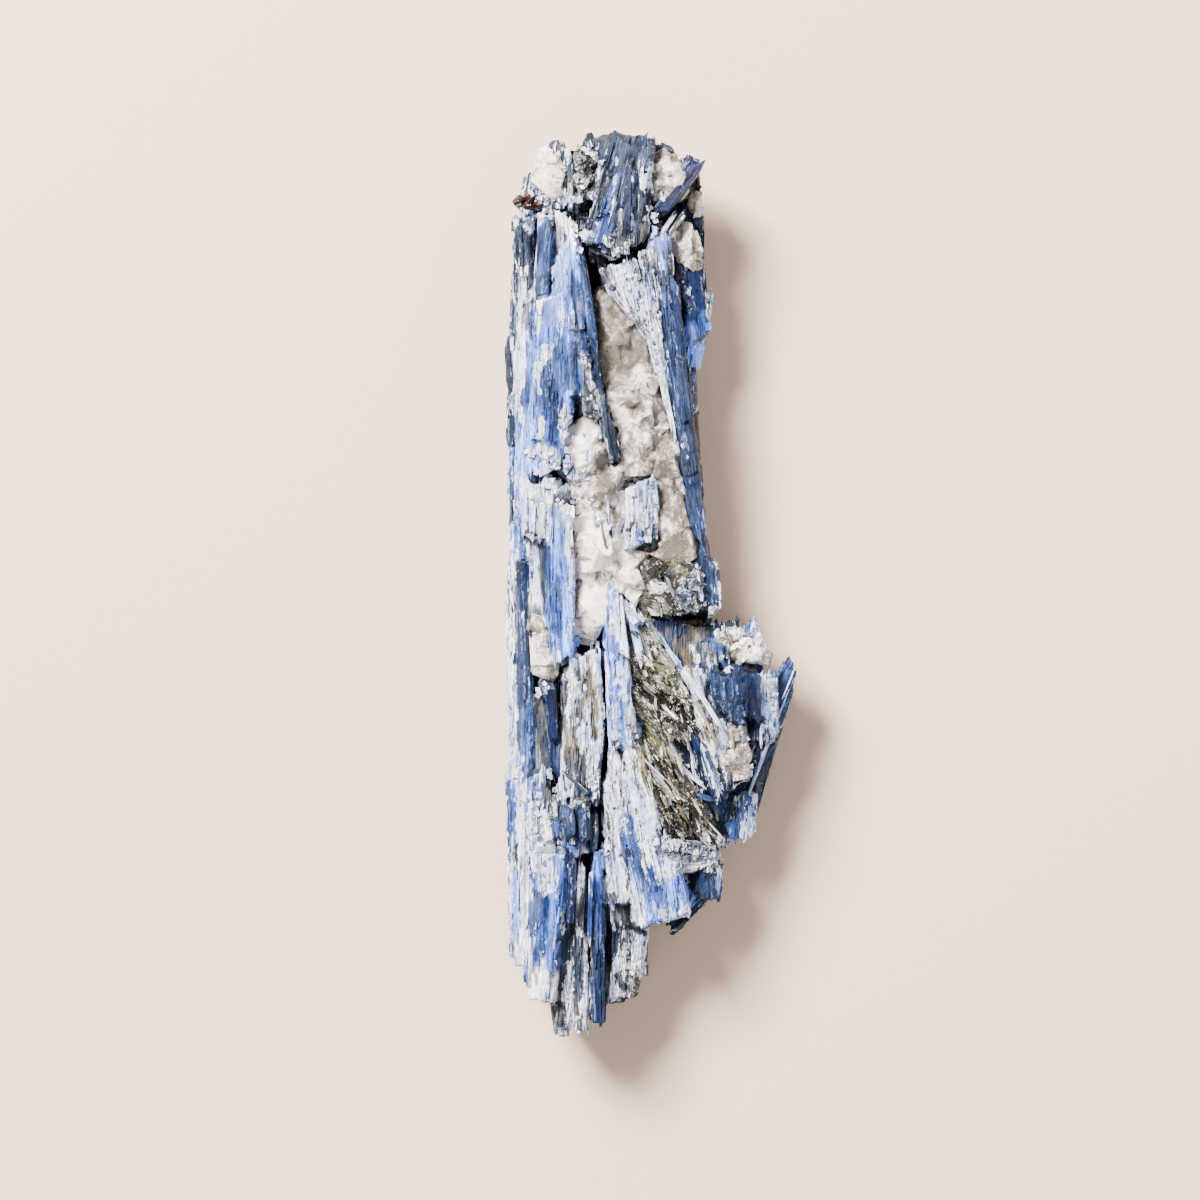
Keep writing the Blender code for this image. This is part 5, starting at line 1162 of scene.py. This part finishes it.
def kyaniteMaterial():
    # cleaved kyanite: colour lies in streaks along the blade, and splintered layers scatter white
    # grit paints dark specks in the frost as the shade of its roughness; the crack colour also paints crevice
    # shade
    look = {
        "frost": "#FFFFFF", "thinFrost": "#A3B6F0", "frostShade": "#8892AC", "grit": "#3A3F48",
        "crack": "#0A0E17", "slate": "#27323F",
    }
    made, tree, shader = newMaterial("cleaved kyanite")
    grain = addNode(tree, "Attribute", {}, "Vector", attribute_name="grain")
    tint = addNode(tree, "Attribute", {}, "Color", attribute_name="tint")
    frost = addNode(tree, "Attribute", {}, "Fac", attribute_name="frost")
    dirt = addNode(tree, "Attribute", {}, "Fac", attribute_name="dirt")
    torn = shaken(tree, grain, 1.3, (0.5, 2.0, 0.0))
    splinter = cells(tree, torn, (1.1, 0.18, 1.0))
    chip = cells(tree, torn, (3.4, 0.9, 1.0))
    broad = noiseAlong(tree, grain, (0.5, 0.13, 1.0), 4.0)
    narrow = noiseAlong(tree, grain, (2.4, 0.16, 1.0))
    hair = noiseAlong(tree, grain, (9.0, 0.5, 1.0))
    patch = noiseAlong(tree, torn, (0.5, 0.17, 1.0), 8.0, 0.62)
    cloud = noiseAlong(tree, torn, (0.45, 0.14, 3.0), 7.0, 0.62)
    fleck = noiseAlong(tree, grain, (5.0, 2.0, 1.0), 4.0, 0.75)
    split = noiseAlong(tree, torn, (1.0, 0.08, 2.0), 5.0, 0.65)

    value = product(
        tree, graded(tree, hair, 0.35, 0.65, 0.6, 1.5), graded(tree, narrow, 0.32, 0.68, 0.68, 1.4),
        graded(tree, splinter[0], 0, 1, 0.82, 1.2), graded(tree, chip[0], 0, 1, 0.9, 1.12),
        graded(tree, cloud, 0.34, 0.68, 0.62, 1.6), graded(tree, fleck, 0.3, 0.7, 0.8, 1.2),
    )
    faded = graded(tree, broad, 0.35, 0.7, 1.08, 0.9)
    body = addNode(tree, "HueSaturation", {"Color": tint, "Value": value, "Saturation": faded})
    greyed = product(tree, graded(tree, broad, 0.56, 0.7, 0.0, 0.3, [(splinter[2], 0.3)]), value)
    body = layered(tree, body, (greyed, look["slate"]))

    thin = graded(tree, cloud, 0.42, 0.62, 0.0, 0.8, [(narrow, 0.6), (splinter[2], 0.2)])
    white = layered(tree, look["frost"], (thin, look["thinFrost"]))
    bright = graded(tree, hair, 0.35, 0.58, added=[(fleck, 0.9), (chip[2], 0.3), (narrow, 0.9), (cloud, 0.7)])
    # painted shade: dark specks in the frost, standing for the shadows of its roughness
    roughness_shade_specks = graded(tree, fleck, 0.41, 0.3, 0.0, 0.9, [(patch, 1.3), (narrow, 0.6)])
    white = layered(tree, look["frostShade"], (bright, white), (roughness_shade_specks, look["grit"]))

    streaks = weighted(
        tree, 0.0, (patch, 3.0), (narrow, 1.3), (hair, 1.3), (fleck, 0.9), (splinter[1], 0.3), (chip[1], 0.1)
    )
    streaks = product(tree, streaks, graded(tree, frost, 0.0, 0.5, 0.14, 1.0))
    whiteness = graded(tree, addNode(tree, "Math", {0: frost, 1: streaks}, operation="ADD"), 0.42, 0.58)
    # painted highlights: thin pale lines along the grain
    pale = product(tree, lineAt(tree, split, 0.01, 0.56), graded(tree, narrow, 0.42, 0.56, 0.0, 0.6))
    cracked = product(tree, lineAt(tree, split, 0.014, 0.42), graded(tree, hair, 0.42, 0.52))
    # painted shade: near-black in the crevices, hollows and seams
    dirty = graded(tree, dirt, 0.5, 0.7, 0.0, 0.92, [(fleck, 1.3), (patch, 1.0), (chip[0], 0.2)])
    colour = layered(
        tree, body, (whiteness, white), (pale, look["thinFrost"]), (cracked, look["crack"]),
        (dirty, look["crack"]),
    )
    relief = weighted(
        tree, narrow, (hair, 0.6), (patch, 0.6), (fleck, 0.35), (splinter[0], 0.5), (chip[0], 0.25),
        (split, 0.6),
    )
    fill(tree, shader, {
        "Base Color": colour,
        "Roughness": graded(tree, whiteness, 0, 1, 0.42, 0.7),
        "Normal": addNode(tree, "Bump", {"Height": relief, "Strength": 0.9, "Distance": 0.0003}),
        "IOR": 1.72,
        "Specular IOR Level": 0.12,
    })
    return made


def quartzMaterial():
    # broken vein quartz: glassy facets, cloudy inside, with pale veins and stained cracks
    look = {"clear": "#6A6056", "milk": "#F6ECE5", "stain": "#5C5548", "vein": "#FDFAF6", "crack": "#1F1D19"}
    made, tree, shader = newMaterial("broken vein quartz")
    milk = addNode(tree, "Attribute", {}, "Fac", attribute_name="milk")
    facet = addNode(tree, "Attribute", {}, "Fac", attribute_name="facet")
    dirt = addNode(tree, "Attribute", {}, "Fac", attribute_name="dirt")
    place = addNode(tree, "TexCoord", {}, "Object")
    place = addNode(tree, "VectorMath", {0: place, 1: (1000, 1000, 1000)}, operation="MULTIPLY")  # in mm
    torn = shaken(tree, place, 1.1, (0.4, 0.4, 0.4))
    facetted = cells(tree, torn, (0.65, 0.4, 0.65))
    small = cells(tree, torn, (2.6, 2.0, 2.6))
    cloud = noiseAlong(tree, torn, (0.5, 0.3, 0.5), 4.0, 0.6)
    grit = noiseAlong(tree, place, (2.6, 2.0, 2.6), 4.0, 0.75)

    blend = [(cloud, 2.0), (facet, 0.6), (facetted[0], 0.8), (small[0], 0.5), (grit, 0.9)]
    cloudy = graded(tree, milk, 0.0, 1.2, added=blend)
    stained = graded(tree, cloud, 0.58, 0.74, 0.0, 0.55, [(facetted[1], 0.3), (grit, 0.5)])
    veins = product(tree, lineAt(tree, cloud, 0.008, 0.56), graded(tree, grit, 0.46, 0.6, 0.0, 0.6))
    cracked = product(tree, lineAt(tree, cloud, 0.01, 0.42), graded(tree, grit, 0.48, 0.56))
    # painted shade: near-black in the hollows
    dirty = graded(tree, dirt, 0.5, 0.75, 0.0, 0.7, [(grit, 1.0)])
    colour = layered(
        tree, look["clear"], (cloudy, look["milk"]), (stained, look["stain"]), (veins, look["vein"]),
        (cracked, look["crack"]), (dirty, look["crack"]),
    )
    relief = weighted(tree, cloud, (facetted[2], 0.9), (small[2], 0.35), (grit, 0.4))
    fill(tree, shader, {
        "Base Color": colour,
        "Roughness": graded(tree, cloudy, 0, 1, 0.1, 0.38),
        "Normal": addNode(tree, "Bump", {"Height": relief, "Strength": 1.0, "Distance": 0.0003}),
        "IOR": 1.544,
        "Transmission Weight": 0.1,
        "Subsurface Weight": 0.2,
        "Subsurface Radius": (1.0, 0.93, 0.86),
        "Subsurface Scale": 0.0008,
    })
    return made


def micaMaterial():
    # book mica: thin cleavage plates with a pearly shine, olive where thin and brown where stacked
    made, tree, shader = newMaterial("cleaved book mica")
    tint = addNode(tree, "Attribute", {}, "Color", attribute_name="tint")
    place = addNode(tree, "TexCoord", {}, "Object")
    fleck = noiseAlong(tree, place, (2800, 2800, 2800), 4.0, 0.7)
    cloud = noiseAlong(tree, place, (700, 700, 700), 4.0, 0.7)
    flecked = graded(tree, fleck, 0.34, 0.66, 0.55, 1.4)
    value = product(tree, flecked, graded(tree, cloud, 0.35, 0.65, 0.6, 1.3))
    body = addNode(tree, "HueSaturation", {"Color": tint, "Value": value})
    glint = graded(tree, fleck, 0.66, 0.7, 0.0, 0.85, [(cloud, 0.8)])
    fill(tree, shader, {
        "Base Color": layered(tree, body, (glint, "#E6E3DA")),
        "Normal": addNode(tree, "Bump", {"Height": fleck, "Strength": 0.6, "Distance": 0.00012}),
        "Roughness": 0.3,
        "IOR": 1.6,
    })
    return made


def garnetMaterial():
    # weathered garnet grains: dark red cores under a rust crust, bedded in white crumbs
    look = {"core": "#1E0603", "rust": "#431C08", "bed": "#E4DED6"}
    made, tree, shader = newMaterial("rusty garnet")
    rust = addNode(tree, "Attribute", {}, "Fac", attribute_name="rust")
    bed = addNode(tree, "Attribute", {}, "Fac", attribute_name="bed")
    place = addNode(tree, "TexCoord", {}, "Object")
    crust = noiseAlong(tree, place, (2200, 2200, 2200), 3.0)
    rusty = graded(tree, rust, 0.4, 0.9, added=[(crust, 1.6)])
    bedded = graded(tree, bed, 0.45, 0.55, added=[(crust, 1.2)])
    fill(tree, shader, {
        "Base Color": layered(tree, look["core"], (rusty, look["rust"]), (bedded, look["bed"])),
        "Normal": addNode(tree, "Bump", {"Height": crust, "Strength": 0.6, "Distance": 0.0002}),
        "Roughness": 0.28,
    })
    return made


# facets where the quartz broke, on the solids that carry it
quartz = {
    "voxel": 0.18, "vein": {"facet": 2.3, "tilt": 0.27}, "nodule": {"facet": 1.9, "tilt": 0.36},
    "scatter": 0.2, "step": 0.06, "most": 0.7, "outermost": 0.6, "grit": 0.05, "gritWidth": 0.4,
    # painted shade in the hollows: how widely hollows are measured, how strongly and from what depth they
    # darken, and how dark they get
    "hollowSpread": 5, "hollowShade": 4, "unshadedHollow": 0.7, "mostShade": 0.8,
    "swell": {  # mm in x, y and z, where a lump fills the space between the blades
        "quartz_vein": (0.5, 0.4, 0.2), "quartz_middle": (0.8, 0.9, 0.1), "quartz_table": (0.9, 0.9, 0.0),
        "quartz_left": (0.9, 0.7, 0.0), "quartz_top": (0.9, 0.7, 0.1), "quartz_side": (0.3, 0.4, 0.0),
        "quartz_fan": (0.4, 0.4, 0.0),
    },
    "milk": {
        "quartz_top": 0.6, "quartz_side": 0.8, "quartz_left": 0.75, "quartz_middle": 0.5, "quartz_fan": 0.7,
        "quartz_table": 0.45, "quartz_shoulder": 0.6, "quartz_vein": 0.5,
    },
}

# where the vein is glassy (low) and milky (high): start, end and half the width in steps of the sheet,
# then milk
veinMilk = [
    (605, 320, 628, 360, 20, 0.15), (634, 350, 640, 366, 6, -0.3), (640, 374, 655, 384, 9, 0.85),
    (656, 395, 650, 430, 13, 0.45), (612, 395, 640, 430, 9, 0.2), (601, 466, 601, 520, 9, -0.7),
    (582, 425, 584, 480, 14, 1.0), (640, 440, 646, 470, 9, 0.45), (664, 445, 672, 560, 9, 0.0),
    (655, 455, 660, 490, 2.5, 0.6), (672, 492, 677, 505, 4, 0.6), (664, 520, 672, 530, 3, 0.5),
    (676, 470, 680, 486, 3, 0.5), (600, 535, 612, 600, 24, 1.1), (615, 380, 625, 385, 7, 0.25),
    (622, 410, 628, 422, 5, 0.75), (655, 440, 662, 452, 4, -0.2), (590, 600, 596, 640, 8, 0.9),
    (632, 527, 640, 545, 4, -0.2),
]


def brokenLump(node, seed, voxel, facet, tilt, swell):  # planes cut at random slopes across the faces
    mesh = remeshed(node, solidOf(node), voxel)
    points = coordinates(mesh)
    out = normals(mesh)
    points = points + out * np.array(swell) * mm
    rng = np.random.default_rng(seed)
    area = sum(face.area for face in mesh.polygons) / mm / mm
    count = int(area / facet ** 2) + 4
    planes = KDTree(count)
    spots = points[rng.choice(len(points), count)]
    spots = spots + rng.normal(0, facet * quartz["scatter"] * mm, (count, 3))
    for i, spot in enumerate(spots):
        planes.insert(spot, i)
    planes.balance()
    plane = np.array([planes.find(point)[1] for point in points])
    share = np.maximum(np.bincount(plane, minlength=count), 1)[:, None]
    middle = np.stack([np.bincount(plane, points[:, k], count) for k in range(3)], axis=1) / share
    slope = np.stack([np.bincount(plane, out[:, k], count) for k in range(3)], axis=1) / share
    slope += rng.normal(0, tilt, (count, 3))
    slope /= np.linalg.norm(slope, axis=1)[:, None]
    gap = ((points - middle[plane]) * slope[plane]).sum(axis=1)
    gap = gap + rng.normal(0, quartz["step"] * mm, count)[plane]
    most = quartz["most"] * mm
    points -= slope[plane] * np.clip(gap, -most * quartz["outermost"], most)[:, None]
    grit = latticeNoise(points / mm, quartz["gritWidth"], seed) * quartz["grit"] * mm
    setCoordinates(mesh, points + out * grit[:, None])
    # painted shade: darker in the hollows
    hollow = hollowness(mesh, quartz["hollowSpread"])
    dirt = np.clip(hollow * quartz["hollowShade"] - quartz["unshadedHollow"], 0, quartz["mostShade"])
    painted(mesh, facet=rng.random(count)[plane], dirt=dirt)
    return mesh


def addQuartz(material):
    for seed, name in enumerate(quartz["milk"]):
        vein = name == "quartz_vein"
        planes = quartz["vein" if vein else "nodule"]
        swell = quartz["swell"].get(name, 0.0)
        mesh = brokenLump(name, seed + 30, voxel=quartz["voxel"], swell=swell, **planes)
        plan = coordinates(mesh)[:, :2] / mm + planMiddle
        milk = np.full(len(plan), quartz["milk"][name])
        for start, run, half, (value,) in strokesOf(veinMilk if vein else []):
            milk += (value - milk) * np.clip(1.7 - gapTo(plan, start, run) / half, 0, 1)
        painted(mesh, milk=milk)
        dressed(name + "_rock", mesh, material, name)


# books of thin mica plates standing in the pockets
mica = {
    "kinds": 6, "lopsided": (0.7, 1.15), "thickness": (0.04, 0.11), "roll": 0.4, "sway": 0.25,
    "layers": (1, 3), "slip": 0.1, "layerGap": 0.16, "lowest": -0.3,
    "level": 0.45, "levelSpread": 0.13,  # 0 takes the darkest tone and 1 the lightest
    "broad": 0.34, "broadWidth": 1.5, "fine": 0.16, "fineWidth": 0.6,  # the level's changes and their size
    "ownShare": 0.8, "shade": (0.4, 1.5), "brightest": 0.9,
    "voxel": 0.22, "bump": 0.15, "bumpWidth": 0.6, "bumpShade": 0.6,
}
micaTones = {  # from dark to light
    "olive": ("#0B0A06", "#22211A", "#35342A", "#484740", "#5C5A50", "#74726A", "#97948C", "#E3DFD6"),
    "deep": ("#060604", "#0F0E0A", "#1C1B14", "#2D2B1E", "#403D2C", "#504D40", "#74705F", "#D3CFC2"),
    "grey": ("#11110F", "#22231E", "#34352E", "#454740", "#53554F", "#6B6B64", "#8B8A83", "#C4C2BB"),
    "speckled": ("#08080A", "#16161A", "#26262A", "#3A3A40", "#54545C", "#7F7D82", "#B9B7B8", "#F0EEEC"),
}

# per node: plates to a square mm, their length and width in mm, heading and spread in degrees, lean, tones
micaBooks = {
    "mica_top": (6.0, (0.4, 1.4), (0.3, 0.9), 30, 60, 0.5, "speckled"),
    "mica_crevice": (3.6, (1.0, 3.4), (0.6, 1.7), -35, 22, 0.25, "grey"),
    "mica_fan_upper": (7.0, (1.1, 4.0), (0.16, 0.6), -52, 13, 0.5, "olive"),
    "mica_fan_lower": (6.0, (1.4, 5.0), (0.18, 0.6), -60, 9, 0.45, "deep"),
}

# tinted parts of the books, in strokes as above
micaStrokes = {
    "#0A0A07": [
        (646, 690, 690, 720, 7), (664, 798, 684, 832, 9), (650, 694, 692, 706, 3), (668, 800, 682, 828, 7),
        (655, 716, 692, 726, 3), (645, 790, 650, 800, 3), (600, 560, 640, 600, 1), (655, 568, 668, 575, 4),
    ],
    "#E2DCD2": [
        (655, 706, 690, 713, 2.5), (668, 676, 684, 690, 2.5), (690, 812, 712, 836, 1.5),
        (590, 150, 600, 165, 5), (676, 660, 686, 664, 2), (640, 640, 660, 655, 1.5),
        (648, 548, 668, 552, 2), (650, 590, 662, 596, 3),
    ],
    "#5F5230": [
        (676, 810, 682, 826, 3), (712, 716, 720, 740, 4), (655, 672, 674, 677, 3), (688, 618, 706, 630, 4),
    ],
    "#606148": [
        (644, 728, 666, 750, 9), (656, 668, 676, 684, 7), (656, 632, 664, 652, 5), (650, 552, 676, 566, 6),
    ],
    "#3A4356": [
        (662, 588, 690, 600, 6), (684, 580, 700, 596, 5), (672, 655, 684, 668, 5), (562, 150, 572, 175, 6),
    ],
    "#8E8F88": [
        (640, 618, 656, 648, 6), (652, 640, 668, 662, 4), (668, 740, 684, 770, 5), (648, 756, 664, 790, 4),
    ],
    "#F4F1EC": [(546, 156, 560, 184, 6), (560, 184, 572, 196, 4)],
}


def plateShapes():  # unit plates: lopsided six-cornered outlines with a little thickness
    rng = random.Random(5)
    shapes = []
    for _ in range(mica["kinds"]):
        bm = bmesh.new()
        rim = bmesh.ops.create_circle(bm, segments=6, radius=0.5, cap_ends=True)["verts"]
        for vert in rim:
            vert.co *= rng.uniform(*mica["lopsided"])
        raised = bmesh.ops.extrude_face_region(bm, geom=bm.faces[:])["geom"]
        bmesh.ops.translate(bm, vec=(0, 0, 1), verts=[v for v in raised if isinstance(v, bmesh.types.BMVert)])
        bmesh.ops.recalc_face_normals(bm, faces=bm.faces)
        shapes.append(meshFrom("plate", bm))
    return shapes


def micaLevels(points):  # how light the plates are at each point, from 0 to 1
    broad = latticeNoise(points / mm, mica["broadWidth"], 12) * mica["broad"]
    fine = latticeNoise(points / mm, mica["fineWidth"], 13) * mica["fine"]
    return broad + fine + mica["level"]


def micaOwned(plan):  # the tone of the stroke that each plan position lies in, if any
    owned = [None] * len(plan)
    for tone, rows in micaStrokes.items():
        for start, run, half, _ in strokesOf(rows):
            for i in np.flatnonzero(gapTo(plan, start, run) < half):
                owned[i] = tone
    return owned


def addPlates(name, shapes, source, book, material):
    perArea, lengths, widths, heading, spread, lean, toneName = book
    rng = random.Random(name)
    ladder = micaTones[toneName]
    spots = [point for point, normal in scattered(source, rng, perArea) if normal.z > mica["lowest"]]
    levels = micaLevels(np.array(spots))
    owned = micaOwned(np.array(spots)[:, :2] / mm + planMiddle)
    places, picks, tints = [], [], []
    for point, level, own in zip(spots, levels, owned):
        turn = Matrix.Rotation(math.radians(rng.gauss(heading, spread)), 3, "Z")
        turn = turn @ Matrix.Rotation(rng.gauss(lean, mica["roll"]), 3, "X")
        turn = turn @ Matrix.Rotation(rng.gauss(0, mica["sway"]), 3, "Y")
        length = logBetween(rng, *lengths)
        width = logBetween(rng, *widths)
        thickness = rng.uniform(*mica["thickness"]) * mm
        step = int(min(max(level + rng.gauss(0, mica["levelSpread"]), 0), 0.999) * len(ladder))
        colour = toLinear(own if own and rng.random() < mica["ownShare"] else ladder[step])
        for layer in range(rng.randint(*mica["layers"])):
            slip = (rng.gauss(0, mica["slip"]), rng.gauss(0, mica["slip"]), layer * mica["layerGap"])
            across, along, up = turn.transposed()
            corner = point + turn @ Vector(slip) * mm
            places.append(placement(corner, across * length, along * width, up * thickness))
            picks.append(rng.randrange(mica["kinds"]))
            shade = rng.uniform(*mica["shade"])
            tints.append([min(channel * shade, mica["brightest"]) for channel in colour])
    plates = repeated(name, shapes, picks, places)
    painted(plates, tint=np.repeat(np.array(tints), len(shapes[0].vertices), axis=0))
    dressed(name + "_plates", plates, material, name)


def addMica(material):
    shapes = plateShapes()
    for name, book in micaBooks.items():
        source = solidOf(name)
        bmesh.ops.triangulate(source, faces=source.faces)
        addPlates(name, shapes, source, book, material)
        body = remeshed(name, source, mica["voxel"])
        points = coordinates(body)
        bumps = latticeNoise(points / mm, mica["bumpWidth"], 3)
        setCoordinates(body, points + normals(body) * (bumps * mica["bump"] * mm)[:, None])
        # the body takes the darkest tone of its book, so where it shows between the plates it is painted
        # shade; raised bumps are painted lighter and dips darker
        deep = np.array(toLinear(micaTones[book[-1]][0]))
        painted(body, tint=deep * (1 + bumps * mica["bumpShade"])[:, None])
        dressed(name + "_body", body, material, name)


garnet = {"voxel": 0.1, "facet": 0.55, "tilt": 0.5, "edge": 0.3}

# where the garnets are rusty and where white crumbs cover them, in strokes as above
garnetStrokes = {
    "rust": [(535, 200, 546, 206, 5), (524, 190, 528, 196, 2)],
    "bed": [(532, 191, 547, 194, 4), (512, 210, 540, 214, 2), (548, 204, 550, 212, 3)],
}


def addGarnets(material):
    mesh = brokenLump("garnets", 90, garnet["voxel"], garnet["facet"], garnet["tilt"], 0.0)
    plan = coordinates(mesh)[:, :2] / mm + planMiddle
    for name, rows in garnetStrokes.items():
        cover = np.zeros(len(plan))
        for start, run, half, _ in strokesOf(rows):
            cover = np.maximum(cover, np.clip((half - gapTo(plan, start, run)) / garnet["edge"] + 0.5, 0, 1))
        painted(mesh, **{name: cover})
    dressed("garnet_grains", mesh, material, "garnets")


def wholeTree():
    bm = bmesh.new()
    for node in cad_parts.values():
        bm.from_mesh(node.data)
    found = BVHTree.FromBMesh(bm)
    bm.free()
    return found


def addKyanite(material):
    surface = wholeTree()
    for seed, node in enumerate(bladeRows):
        bundle = Bundle(node)
        source = solidOf(node)
        bmesh.ops.triangulate(source, faces=source.faces)
        splinters = addLaths(node + "_laths", bundle, source, BVHTree.FromBMesh(source), seed)
        body = addRock(node, bundle, source, seed)
        if node in crumbs:
            grains = addCrumbs(node, bundle, surface, seed + 80)
            dressed(node + "_crumbs", grains, material, node)
        if node in needles:
            crossing = addNeedles(node, surface, seed + 60)
            dressed(node + "_needles", crossing, material, node)
        dressed(node + "_rock", body, material, node)
        dressed(node + "_laths", splinters, material, node)
        print("kyanite", node, "laths", len(splinters.polygons), "rock", len(body.polygons))


setStudio()
print("studio set")
addKyanite(kyaniteMaterial())
addQuartz(quartzMaterial())
print("quartz done")
addMica(micaMaterial())
print("mica done")
addGarnets(garnetMaterial())
print("garnets done")
